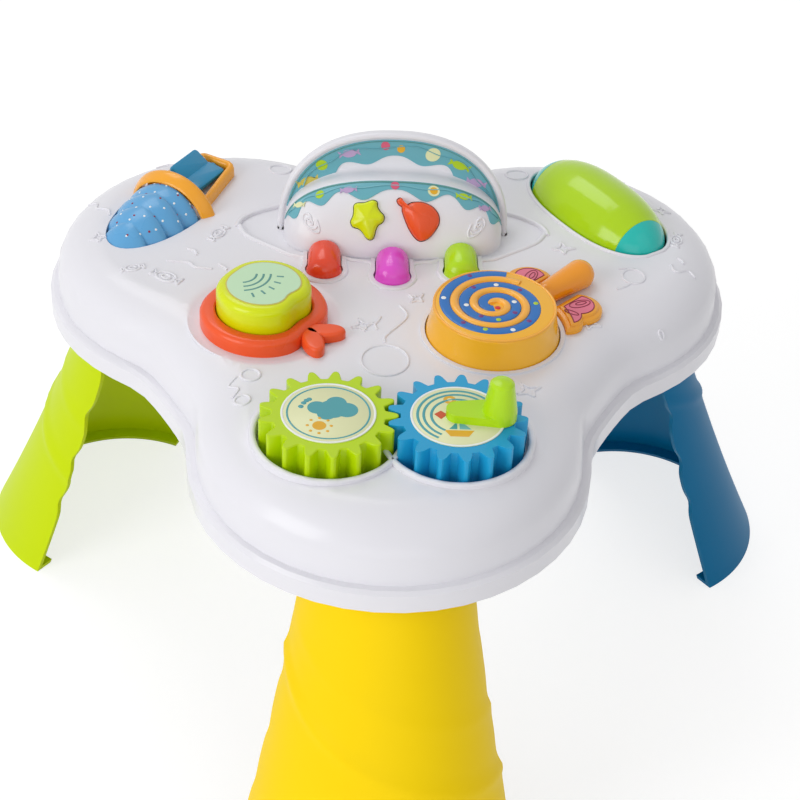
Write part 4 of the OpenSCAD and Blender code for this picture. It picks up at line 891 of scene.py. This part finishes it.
def ice_tier(tier, spot_on, place, band, edge, light, sweets, level):
    """A tier's icing: its wavy band, a darker line along its top edge that is painted shadow from the rim or
    ledge above it, a lighter wave, and the printed sweets.
    """
    stand_in(tier + "_icing", icing_band(spot_on, *band), place, 50, name=tier + "_icing_print")
    # The darker slate bead along the icing's top edge is painted shadow, standing for the shade cast by the
    # upper tier's rim and by the lower tier's rounded ledge.
    depth, lift, height, steps = edge
    line = [spot_on(t, depth, lift) for t in np.linspace(15, 165, steps)]
    beads(tier + "_icing_edge_painted_shadow", "table", [(line, False)], 1.3, height, PRINTS["slate"], place)
    end, depth, swing, rate, lift, width, height, steps = light
    line = [spot_on(t, depth + swing * math.sin(t * rate), lift) for t in np.linspace(end, 180 - end, steps)]
    beads(tier + "_icing_wave", "table", [(line, False)], width, height, PRINTS["sky"], place)
    for k, (t, depth, tint, outline, turn, grow) in enumerate(sweets):
        shape = badge(spot_on, t, depth, level + 0.05 * (k % 3), outline, turn, grow)
        piece(f"{tier}_sweet_{k + 1}", "table", shape, PRINTS[tint], place)


def make_cake():
    """The two-tier cake panel with its wavy icing and printed sweets."""
    tier = solid("cake_tier_finished", tier_shell(), WHITE, sharp=50)
    for _, psi, outline, _ in FACE_BUTTONS:
        less(tier, solid("cutter", plate(outline(-0.5), -9.5, 9.0), WHITE, on_face(psi)), 40)
    ride_piece(tier, "table", ("cake_body",))
    piece("cake_hood_finished", "table", hood(), WHITE, None, (), 50)
    # Each tier's second group sets the darker line of painted shadow along the icing's top edge: depth, lift,
    # height, steps.
    ice_tier("upper", upper_spot, ON_UPPER, (11, 4.3, 12.0, 2.4, 30, 0.02, 0.5), (5.1, 0.55, 0.12, 90),
             (18, 8.4, 1.1, 0.21, 0.56, 2.0, 0.12, 120), UPPER_SWEETS, 0.52)
    ice_tier("lower", lower_spot, None, (10, 4.6, 8.0, 2.7, 25, 0.05, 0.4), (5.5, 0.5, 0.25, 120),
             (20, 8.2, 0.8, 0.26, 0.45, 1.7, 0.2, 140), LOWER_SWEETS, 0.5)
    swirls = []
    for side in (-1, 1):
        for base in (0, 1):
            turns = [(1.0 + 0.34 * k, 0.34 * k + base) for k in range(26)]
            path = []
            for r, a in turns:
                t, s = 90 - side * (52 + 0.7 * r * math.cos(a)), 19 + 0.5 * r * math.sin(a) + 2 * base
                path.append(lower_spot(t, s, 0.1))
            swirls.append((path, False))
    beads("cake_side_swirls", "table", swirls, 1.3, 0.6, WHITE)


# ---- star and balloon ----

FACE_S = 20.5
FACE_SLOPE = math.atan(lower_radius(FACE_S - 0.5) - lower_radius(FACE_S + 0.5))
STAR = inset_curve(closed_curve([
    (10.0, -0.4), (8.2, 2.9), (7.2, 5.8), (7.3, 8.8), (4.8, 10.2), (0.2, 9.6), (-4.2, 10.1), (-6.3, 8.9),
    (-6.9, 6.0), (-7.9, 2.9), (-9.8, 0.0), (-9.2, -3.2), (-6.2, -4.8), (-4.2, -7.3), (-2.6, -11.0),
    (-0.4, -12.6), (1.8, -11.2), (3.6, -7.5), (5.6, -4.9), (8.7, -3.5)]), (-0.4, -2.3))
BALLOON = inset_curve(closed_curve([
    (11.4, 0.6), (10.6, 5.0), (8.2, 8.0), (4.4, 10.2), (-1.1, 11.0), (-6.5, 9.6), (-9.6, 7.4), (-11.6, 8.6),
    (-14.0, 10.6), (-15.6, 8.8), (-14.2, 6.8), (-11.9, 5.6), (-11.2, 3.2), (-8.5, -1.2), (-4.5, -6.4),
    (0.0, -10.2), (3.4, -11.4), (6.6, -9.7), (9.4, -5.6)]), (-0.5, -2.9))
# The buttons on the cake's face: (name, degrees sideways, outline, rise of the crown).
FACE_BUTTONS = (("star", -14.5, STAR, 1.9), ("balloon", 14.5, BALLOON, 3.2))


def on_face(psi):
    """On the lower tier's sloping front, psi degrees sideways, with Z standing out of it."""
    return (Matrix.Translation((CAKE_X, CAKE_Y - FACE_S, DECK - LOWER_CENTRE))
            @ Matrix.Rotation(math.radians(psi), 4, "Y") @ Matrix.Translation((0, 0, lower_radius(FACE_S)))
            @ Matrix.Rotation(FACE_SLOPE, 4, "X"))


def crowned(outline, crown, rise=3.6, low=-7.5):
    """Rings that shrink to the middle as they rise, over sides that drop to low."""
    sides = [at_height(outline(inset), height) for inset, height in
             ((0, low), (0, rise - 1.6), (0.3, rise - 0.8), (1.0, rise - 0.1))]
    base = outline(1.0)
    middle = base.mean(0)
    for share in (k / 8.2 for k in range(1, 9)):
        flat = middle + (base - middle) * (1 - share)
        sides.append(at_height(flat, rise - 0.1 + crown * math.sin(math.pi / 2 * share)))
    return joined(loft(sides), stem(low, low - 3.2))


def make_face_buttons():
    for name, psi, outline, crown in FACE_BUTTONS:
        stand_in(name + "_button", crowned(outline, crown), on_face(psi))


# ---- piano keys ----

KEY_SEAM = -6.0


def half_round(sections):
    """A form made of half circles along Y: (y, radius), on sides that drop to a skirt."""
    turns, rings = np.linspace(0, math.pi, 29), []
    for y, radius in sections:
        arch = [(radius * math.cos(t), y, DECK + 1 + radius * math.sin(t)) for t in turns]
        rings.append([(radius, y, DECK - 5.0), *arch, (-radius, y, DECK - 5.0)])
    return loft(rings)


def make_keys():
    """Each key: a half-round back, a groove, and a glossy rounded front that stands a little prouder."""
    sections = [(14.0, 8.2), (13.7, 9.1), (13.0, 9.6), (12.0, 9.8)]
    sections += [(KEY_SEAM + ahead, radius) for ahead, radius in
                 ((1.2, 9.8), (0.5, 9.4), (0.1, 8.6), (-0.2, 8.6), (-0.4, 9.7), (-0.8, 10.3))]
    nose = np.linspace(0.16, math.pi / 2 * 0.985, 14)
    sections += [(-5.6 - 8.4 * math.sin(t), 10.7 * math.cos(t)) for t in nose]
    shape = joined(half_round(sections), plate(key_outline(2.0), DECK - 5.7, DECK - 4.2), stem(DECK - 5.7))
    for node, (x, y) in KEY_PLACES.items():
        stand_in(node, shape, spot(x, y), 30)


# ---- apple ----

APPLE_RIM = DECK + 8.0
APPLE_TOP = APPLE_RIM + 15.0
LEAF_REACH, LEAF_ANGLE = 31.5, math.radians(-35)


def apple_outline(radius):
    return polar(lambda t: radius * (1 - 0.13 * np.exp(-((t + 35) / 20) ** 2)
                                     - 0.05 * np.exp(-((t - 145) / 24) ** 2)), 144)


def leaf_outline(inset):
    around = polar(lambda t: 72 / np.hypot(6 * np.cos(np.radians(t)), 12 * np.sin(np.radians(t))), 60)
    return around(inset) + (9, 0)


def make_apple():
    """Orange base with two leaves, yellow-green button and a printed label."""
    outer, hole = apple_outline(36.5), apple_outline(27)
    side = [(0, DECK - 2)] + rounded(APPLE_RIM, 3.6, 6)
    levels = [at_height(outer(inset), height) for inset, height in side]
    levels += [at_height(hole(inset), height) for inset, height in
               ((-2.0, APPLE_RIM), (-1.0, APPLE_RIM - 0.4), (-0.5, APPLE_RIM - 1.4), (-0.5, DECK - 2))]
    parts = [loft(levels + [at_height(outer(0), DECK - 2)], False)]
    root = (LEAF_REACH * math.cos(LEAF_ANGLE), LEAF_REACH * math.sin(LEAF_ANGLE))
    for turn in (-72, 2):
        points, faces = raised(leaf_outline, [(0, DECK)] + rounded(APPLE_RIM - 2, 2.4, 5))
        parts.append((moved(points, spot(*root, 0, turn)), faces))
    stand_in("apple_base", joined(*parts), ON_APPLE, 45)
    button = raised(hole, [(0, DECK - 4), (0, APPLE_TOP - 5)] + rounded(APPLE_TOP, 4.6, 7)[1:])
    stand_in("apple_button", joined(button, stem(DECK - 4)), ON_APPLE, 45)
    border = plate(hole(5.4), APPLE_TOP - 0.3, APPLE_TOP + 0.25)
    piece("apple_label_border", "apple", border, PRINTS["tan"], ON_APPLE)
    face = plate(hole(6.2), APPLE_TOP - 0.3, APPLE_TOP + 0.45)
    stand_in("apple_label", face, ON_APPLE, 38, material=PRINTS["mint"], name="apple_label_print")
    lines = [at_height(ring(r, 30, -82, 84), 0) for r in (8.5, 12.5, 16.5)]
    for a in np.radians(np.linspace(-70, -4, 5)):
        lines.append([(r * math.cos(a), r * math.sin(a), 0) for r in (20.0, 24.0)])
    beads("apple_label_arcs", "apple", [(line, False) for line in lines], 1.3, 0.15, PRINTS["slate"],
          ON_APPLE @ spot(-13, 8.5, APPLE_TOP + 0.45))


# ---- lollipop ----

LOLLY_TOP = DECK + 19.0
SWIRL_PITCH, SWIRL_START = 11.0, 31.4
SWIRL_DOTS = {"purple": (40, 150, 245, 330, 410, 520, 610), "white": (95, 215, 370, 470, 660),
              "lime": (180, 290, 560)}
# Loops printed on a wing of the bow: (x, y, half length, half width, turn).
BOW_LOOPS = ((53, 19, 6.6, 3.2, 20), (54, 19, 3.4, 1.3, 20), (43, 21.5, 4.4, 1.5, 75))


def spiral_point(start, turned, height=LOLLY_TOP):
    """On the drum's face: the radius falls by a pitch in each turn."""
    r, a = start - SWIRL_PITCH * turned / 360, math.radians(75 + turned)
    return r * math.cos(a), r * math.sin(a), height


def spiral(start, first, last):
    return [([spiral_point(start, t) for t in np.linspace(first, last, 160)], False)]


def make_lollipop():
    """Drum pad with a blue spiral between raised orange ridges, stick and bow."""
    profile = [(2, 43.0), (40.2, 43.0), (40.2, 45.0), (38.2, 45.0), (38.2, DECK), (37.8, DECK + 2),
               (37.2, DECK + 4)]
    profile += [(34.8 + 2.4 * (1 - k / 6), DECK + 4 + 12 * k / 6) for k in range(1, 6)]
    profile += [(35.0 - inset, height) for inset, height in rounded(LOLLY_TOP, 2.6, 6)] + [(1.0, LOLLY_TOP)]
    stand_in("lollipop_drum", joined(revolve(profile), stem(43.0)), ON_LOLLY)
    beads("lollipop_swirl_finished", "lollipop", spiral(SWIRL_START, 0, 905), 6.2, 0.35,
          SLOT_FINISHES["swirl_blue"], ON_LOLLY, ("lollipop_swirl",))
    beads("lollipop_ridge", "lollipop", spiral(26.2, -20, 800), 4.6, 1.4, RIDGE_ORANGE, ON_LOLLY)
    rim = at_height(ring(34.2, 120), LOLLY_TOP - 0.5)
    beads("lollipop_rim", "lollipop", [(rim, True)], 1.6, 0.7, RIDGE_ORANGE, ON_LOLLY)
    for tint, turns in SWIRL_DOTS.items():
        places = [spiral_point(SWIRL_START + 0.9 * math.sin(t), t, LOLLY_TOP + 0.3) for t in turns]
        dots(f"swirl_dots_{tint}", "lollipop", places, 1.5, 0.25, PRINTS[tint], ON_LOLLY)
    dots("swirl_centre_dot", "lollipop", [(1.5, -3.0, LOLLY_TOP + 0.1)], 1.7, 0.3, PRINTS["red"], ON_LOLLY)
    make_stick()
    make_bow()


def make_stick():
    """The amber handle of the lollipop: a taper with a round end, flat on the deck."""
    start, reach, root, end, high = 41.3, 74.0, 6.5, 9.0, 6.5
    sections = [(start, 0.6 * root), (start + 0.3, 0.93 * root), (start + 1.0, root)]
    sections += [(start + 1 + (reach - start - 1) * k / 8, root + (end - root) * k / 8) for k in range(1, 9)]
    tip = np.linspace(0.12, math.pi / 2 * 0.98, 14)
    sections += [(reach + end * math.sin(t), end * math.cos(t)) for t in tip]
    turns = np.linspace(0, 2 * math.pi, 48, endpoint=False)
    rings = [[(x, r * math.cos(t), max(DECK, DECK + high + r * math.sin(t))) for t in turns]
             for x, r in sections]
    stand_in("lollipop_stick", loft(rings), ON_STICK, 45, material=LOLLY_AMBER)


def bow_outline(side):
    """A wing of the bow: round lobes, cut off along the drum and the stick."""
    around = circles_outline([(50, side * 20, 12), (52, side * 19, 14), (37, side * 24, 9)], 140)

    def outline(inset=0.0):
        made = []
        for x, y in around(inset):
            y = side * max(side * y, 9.5 + inset)
            reach, least = math.hypot(x, y), 41.6 + inset
            if reach < least:
                x, y = x * least / reach, y * least / reach
            made.append((x, y))
        return np.array(made)

    return outline


def make_bow():
    """The butterfly bow behind the drum: orange wings, a raised band, and a pink print with loops."""
    for side, word, replaced in ((1, "left", ("lollipop_bow",)), (-1, "right", ())):
        outline = bow_outline(side)
        wing = raised(outline, [(0, DECK)] + rounded(DECK + 3.4, 1.4, 4) + rounded(DECK + 5.0, 1.2, 4, 2.6))
        piece(f"bow_wing_{word}", "table", wing, SLOT_FINISHES["cone_orange"], ON_STICK, replaced, 45)
        inside = plate(outline(5.2), DECK + 4.7, DECK + 5.15)
        piece(f"bow_print_{word}", "table", inside, PRINTS["pink"], ON_STICK)
        lines = [(at_height(outline(5.1), DECK + 5.15), True)]
        for x, y, wide, deep, turn in BOW_LOOPS:
            flat = at_height(ring(1.0, 36) * (wide, deep), 0)
            lines.append((moved(flat, spot(x, side * y, DECK + 5.2, turn * side)), True))
        beads(f"bow_lines_{word}", "table", lines, 0.7, 0.2, PRINTS["maroon"], ON_STICK)


# ---- ice cream ----

SCOOP_ROOT, SCOOP_LONG, SCOOP_RADIUS, SCOOP_SINK = -14, 60, 27.5, 12.0
RIB_PERIOD, RIB_DEPTH = 0.235, 5.2
CONE_START, CONE_END, CONE_WIDE, CONE_NARROW = -4.0, 42.0, 22.5, 13.5
CONE_SLOPE = (CONE_NARROW - CONE_WIDE) / (CONE_END - CONE_START)
# The cone frame's section: (inset, height over the deck).
CONE_SECTION = ((0, 0), (0, 4.6), (0.5, 6.0), (1.6, 6.9), (2.6, 7.0), (3.8, 6.6), (4.6, 5.4), (4.8, 4.0),
                (4.8, 0), (0, 0))
# The collar's section: (place along the scoop, radius round its axis).
COLLAR_SECTION = ((-14.6, 28.3), (-14.4, 29.0), (-13.4, 30.0), (-11.0, 31.4), (-8.6, 32.6), (-7.0, 32.9),
                  (-5.8, 32.4), (-5.2, 31.2), (-5.0, 28.3))
ROCKER_AXIS = DECK + 3.5


def scoop_point(t, a):
    """On the ribbed scoop: t from its root to its tip, a round its axis."""
    along, side = math.sin(t), abs(math.cos(a))
    step = (along / RIB_PERIOD + 0.25 * (1 - side)) % 1.0
    swell = math.sin(math.pi * step ** 0.8) ** 0.6
    depth = RIB_DEPTH * (0.12 + 0.88 * side ** 1.3) * (1 - 0.3 * along)
    reach = SCOOP_RADIUS * math.cos(t) - depth * (1 - swell) * min(1, math.cos(t) * 2.2)
    return SCOOP_ROOT - SCOOP_LONG * along, reach * math.cos(a), DECK - SCOOP_SINK + reach * math.sin(a)


def cut_flat(work):
    """Cuts the scoop flat just under the deck and closes it."""
    level = RIM_HEIGHT + (DECK - 3) * MM
    cut = bmesh.ops.bisect_plane(work, geom=work.verts[:] + work.edges[:] + work.faces[:], dist=1e-6,
                                 plane_co=(0, 0, level), plane_no=(0, 0, 1), clear_inner=True)
    rim = [e for e in cut["geom_cut"] if isinstance(e, bmesh.types.BMEdge)]
    bmesh.ops.holes_fill(work, edges=rim, sides=0)


def keep_crown(work):
    """Leaves only the scoop's upper faces, which carry the sprinkles."""
    low = RIM_HEIGHT + (DECK + 4) * MM
    gone = [f for f in work.faces if f.calc_center_median().z < low or f.normal.z < 0.15]
    bmesh.ops.delete(work, geom=gone, context="FACES")


def make_scoop():
    """The ribbed scoop with its sprinkles."""
    turns = np.radians(np.linspace(0, 360, 144, endpoint=False))
    stations = np.radians(np.linspace(0.5, 89.5, 110))
    points, faces = loft([[scoop_point(t, a) for a in turns] for t in stations])
    mesh = new_mesh("scoop_form", points, (), faces, ON_ICE)
    edit(mesh, face_outwards, cut_flat)
    edit(mesh, merge_doubles, face_outwards)
    shade(mesh, SLOT_FINISHES["ice_blue"], 50)
    ride_piece(new_object("ice_cream_scoop_finished", mesh), "scoop", ("ice_cream_scoop",))
    crown = mesh.copy()
    edit(crown, keep_crown)
    for tint, seed, spacing in (("white", 3, 8.0), ("maroon", 11, 11.0)):
        sizes = {"Spacing": spacing * MM, "Seed": seed, "Radius": 0.75 * MM, "Height": 0.3 * MM}
        grown(f"sprinkles_{tint}", "scoop", crown.copy(), SPRINKLES, PRINTS[tint], sizes)


def cone_outline(inset):
    """The cone frame's edge, with round corners at its far end."""
    corner = max(6.0 - inset, 1.0)
    near, reach = CONE_START + inset, CONE_END - inset - corner
    half = CONE_WIDE + CONE_SLOPE * (reach - CONE_START) - inset
    right = [(near, CONE_WIDE + CONE_SLOPE * (near - CONE_START) - inset)]
    right += [(reach + corner * math.sin(t), half - corner + corner * math.cos(t))
              for t in np.linspace(0, math.pi / 2, 8)]
    return np.array([(x, -y) for x, y in right] + right[::-1])


def cone_bars():
    """The frame's rounded bars, rising to an arch at the far end."""
    points, faces = raised(cone_outline, [(inset, DECK + height) for inset, height in CONE_SECTION], False)
    rise = np.clip((points[:, 0] - 28) / 12, 0, 1) * (1 - (points[:, 1] / 17) ** 2)
    points[:, 2] += 2.4 * rise * (points[:, 2] - DECK) / 7
    return points, faces


def collar():
    """The sloping band round the scoop's root, cut off at the deck."""
    rings = []
    for t in np.linspace(0, math.pi, 91):
        squeeze = 1 - 0.035 * abs(math.cos(t)) ** 4
        rings.append([(x, r * squeeze * math.cos(t), max(DECK - SCOOP_SINK + r * math.sin(t), DECK - 0.4))
                      for x, r in COLLAR_SECTION])
    return loft(rings)


def rocker_wing(near, far, low, high, lean, corner=2.6):
    """A rounded plate from low to high across the rocker, leaning about the valley."""
    def outline(inset):
        spots = []
        for x, y, start in ((far, high, 0), (near, high, 90), (near, low, 180), (far, low, 270)):
            middle = np.array((x - math.copysign(corner, x - (near + far) / 2),
                               y - math.copysign(corner, y - (low + high) / 2)))
            turns = np.radians(start + np.arange(0, 91, 15))
            spots.append(middle + (corner - inset) * np.c_[np.cos(turns), np.sin(turns)])
        return np.vstack(spots)

    points, faces = raised(outline, [(1.1, -1.9), (0.3, -1.5), (0, -0.7), (0, 0.7), (0.3, 1.5), (1.1, 1.9)])
    lean = Matrix.Translation((0, 2.0, ROCKER_AXIS + 3.0)) @ Matrix.Rotation(math.radians(lean), 4, "X")
    return moved(points, lean), faces


def make_ice_cream():
    """Scoop, cone frame with its collar, and the rocker: one wing lies in the cone, the other stands up."""
    make_scoop()
    stand_in("cone_frame", joined(cone_bars(), collar()), ON_ICE, 50)
    turns = np.linspace(0, 2 * math.pi, 32, endpoint=False)
    barrel = loft([[(x, 3.1 * math.cos(t), ROCKER_AXIS + 3.1 * math.sin(t)) for t in turns]
                   for x in (1.6, 36.0)])
    wings = rocker_wing(3.0, 34.0, -12.5, 1.2, 8), rocker_wing(5.0, 33.0, -1.2, 12.6, 36)
    stand_in("cone_rocker", joined(*wings, barrel), ON_ICE)
    dressed("rocker_pin", 0.2)


# ---- gears, crank and their labels ----

GEAR_FACE = DECK + 14.0
LABEL_TOP = GEAR_FACE + 0.5
CLOUD = circles_outline([(2, 3, 7.5), (-6, 4, 5.2), (9.5, 2.5, 6), (4, 8, 5.5), (-1, -1, 5)], 140)(0)
# Printed shapes on each gear's label: (tint, outline, layer).
LABEL_PRINTS = {
    "green_gear": [("teal", CLOUD, 1), ("amber", ring(3.6, 36) + (-4.5, -11), 1)],
    "blue_gear": [("amber", [(-7.5, -12), (8, -12), (5, -17), (-4.5, -17)], 1),
                  ("sky", [(0.4, -11), (0.4, -3.5), (6.6, -11)], 1),
                  ("teal", [(-0.8, -11), (-0.8, -5), (-5, -11)], 1),
                  ("brick", [(-9, 4), (-5.5, 1), (-9, -3), (-12.5, 1)], 2),
                  ("amber", ring(3.4, 36) + (-4, 13.5), 1), ("cream", ring(1.4, 24) + (-4, 13.5), 2)],
}


def make_gears():
    """Two meshing gears with printed labels and the crank."""
    profile = [(25.0, GEAR_FACE - 0.1), (25.0, GEAR_FACE + 0.25), (24.6, LABEL_TOP), (0.5, LABEL_TOP)]
    circle, arcs = (at_height(ring(21.6, 96), LABEL_TOP), True), []
    for radius in (21.2, 18.0, 14.0):
        arcs.append((at_height(ring(radius, 60, 35, 205), LABEL_TOP), False))
    lines = {"green_gear": ("green_label_ring", [circle], 1.0), "blue_gear": ("blue_label_arcs", arcs, 1.5)}
    for node, place in ON_GEAR.items():
        body = node + "_set"
        dressed(node, 1.1, sharp=36)
        label = node + "_label"
        stand_in(label, revolve(profile), place, 38, material=PRINTS["cream"], name=label + "_print")
        edge = [(at_height(ring(24.4, 96), LABEL_TOP), True)]
        beads(label + "_edge", body, edge, 1.3, 0.2, PRINTS["white"], place)
        name, drawn, width = lines[node]
        beads(name, body, drawn, width, 0.15, PRINTS["teal"], place)
        for k, (tint, outline, layer) in enumerate(LABEL_PRINTS[node]):
            shape = plate(outline, GEAR_FACE + 0.3, LABEL_TOP + 0.06 * layer)
            piece(f"{node}_print_{k + 1}", body, shape, PRINTS[tint], place)
    on_green = ON_GEAR["green_gear"]
    rays = at_height(ring(6.2, 8) + (-4.5, -11), LABEL_TOP)
    dots("green_label_sun_rays", "green_gear_set", rays, 0.9, 0.15, PRINTS["amber"], on_green)
    drops = [(-14.5 + 1.4 * k, 4.5 + 3.6 * k - 0.5 * k * k, LABEL_TOP) for k in range(4)]
    dots("green_label_drops", "green_gear_set", drops, 1.5, 0.15, PRINTS["teal"], on_green)
    dressed("crank_handle", 0.9, sharp=30)
    dressed("gear_screws", 0.3)


# ---- roller, and what lies under the tray, which keeps its CAD mesh with a finish of its own ----


def make_roller():
    for node in ("roller_shell", "roller_window", "roller_cap_rear", "roller_cap_front"):
        dressed(node, 0.35, sharp=34)
    for node in ("roller_axle", "roller_cradle"):
        dressed(node, 0.2)


def paint_the_rest():
    for node, thing in frame["nodes"].items():
        if not thing.hide_render:
            thing.data.materials.clear()
            thing.data.materials.append(SLOT_FINISHES[SLOT_OF[node]])


# ---- floor, light and camera ----

FLOOR_HALF, FLOOR_GLOW, FLOOR_GLOW_SHARE, SOFT_LIGHT = 14.0, 1.3, 0.55, 0.48
# Each lamp: power, width and place.
LAMPS = {"key_light": (19, 1.2, (-1.6, -1.2, 1.15)), "fill_light": (2.5, 1.6, (1.3, -1.2, 1.5)),
         "top_light": (9, 1.0, (-0.5, 1.0, 1.9)), "front_light": (5, 1.4, (0.0, -1.9, 0.5))}
VIEW_DOWN, VIEW_ROLL, VIEW_TURN = math.radians(36.30), math.radians(-2.687), math.radians(-1.853)
VIEW_DISTANCE = 1.1117


def seen_directly(tree, usual, direct, ending, share=1.0):
    """Shows one shader to light and, by a share, another to camera, glossy and transmission rays."""
    path = add_node(tree, "ShaderNodeLightPath")
    total = path.outputs["Is Camera Ray"]
    for kind in ("Is Glossy Ray", "Is Transmission Ray"):
        either = add_node(tree, "ShaderNodeMath", operation="MAXIMUM")
        tree.links.new(total, either.inputs[0])
        tree.links.new(path.outputs[kind], either.inputs[1])
        total = either.outputs[0]
    part = add_node(tree, "ShaderNodeMath", {1: share}, operation="MULTIPLY")
    mix = add_node(tree, "ShaderNodeMixShader")
    tree.links.new(total, part.inputs[0])
    wire(tree, (part, 0, mix, 0), (usual, 0, mix, 1), (direct, 0, mix, 2), (mix, 0, ending, "Surface"))


def make_floor():
    mesh = bpy.data.meshes.new("floor")
    corners = [(x * FLOOR_HALF, y * FLOOR_HALF, 0) for x, y in ((-1, -1), (1, -1), (1, 1), (-1, 1))]
    mesh.from_pydata(corners, [], [(0, 1, 2, 3)])
    material = bpy.data.materials.new("pale_floor")
    material.use_nodes = True
    tree = material.node_tree
    shader = tree.nodes["Principled BSDF"]
    shader.inputs["Base Color"].default_value = (0.9, 0.9, 0.9, 1)
    shader.inputs["Roughness"].default_value = 0.9
    glow = add_node(tree, "ShaderNodeEmission", {"Color": (1, 1, 1, 1), "Strength": FLOOR_GLOW})
    seen_directly(tree, shader, glow, tree.nodes["Material Output"], FLOOR_GLOW_SHARE)
    mesh.materials.append(material)
    floor = new_object("floor", mesh)


def make_light():
    """A plain white surround, dimmer as light than it looks, and four soft lamps."""
    world = bpy.data.worlds.new("studio")
    bpy.context.scene.world = world
    world.use_nodes = True
    tree = world.node_tree
    soft = tree.nodes["Background"]
    soft.inputs["Color"].default_value = (1, 1, 1, 1)
    soft.inputs["Strength"].default_value = SOFT_LIGHT
    white = add_node(tree, "ShaderNodeBackground", {"Color": (1, 1, 1, 1), "Strength": 1.0})
    seen_directly(tree, soft, white, tree.nodes["World Output"])
    aim = Vector((0, AXIS_SHIFT, RIM_HEIGHT))
    for name, (power, size, place) in LAMPS.items():
        lamp = bpy.data.lights.new(name, "AREA")
        lamp.energy, lamp.size = power, size
        thing = new_object(name, lamp)
        thing.location = place
        thing.rotation_euler = (Vector(place) - aim).to_track_quat("Z", "Y").to_euler()


def make_camera():
    """The view on the table: 36 degrees down, slightly rolled and turned."""
    across, rise = Vector((1, 0, 0)), Vector((0, math.sin(VIEW_DOWN), math.cos(VIEW_DOWN)))
    back = Vector((0, -math.cos(VIEW_DOWN), math.sin(VIEW_DOWN)))
    right = across * math.cos(VIEW_ROLL) - rise * math.sin(VIEW_ROLL)
    up = across * math.sin(VIEW_ROLL) + rise * math.cos(VIEW_ROLL)
    spin = Matrix.Rotation(VIEW_TURN, 3, "Z")
    right, up, back = spin @ right, spin @ up, spin @ back
    lens = bpy.data.cameras.new("camera")
    lens.lens, lens.sensor_width = 83.1, 36.0
    lens.shift_x, lens.shift_y = 0.0155, -0.0614
    lens.clip_start, lens.clip_end = 0.05, 60
    camera = new_object("camera", lens)
    pose = Matrix((right, up, back)).transposed().to_4x4()
    place = Vector((0, AXIS_SHIFT, RIM_HEIGHT)) + back * VIEW_DISTANCE
    camera.matrix_world = Matrix.Translation(place) @ pose
    bpy.context.scene.camera = camera


make_tray()
for leg in LOBES:
    make_leg(leg)
make_cake()
make_face_buttons()
make_keys()
make_apple()
make_lollipop()
make_ice_cream()
make_gears()
make_roller()
paint_the_rest()
make_floor()
make_light()
make_camera()
bpy.context.scene.view_settings.view_transform = "Standard"
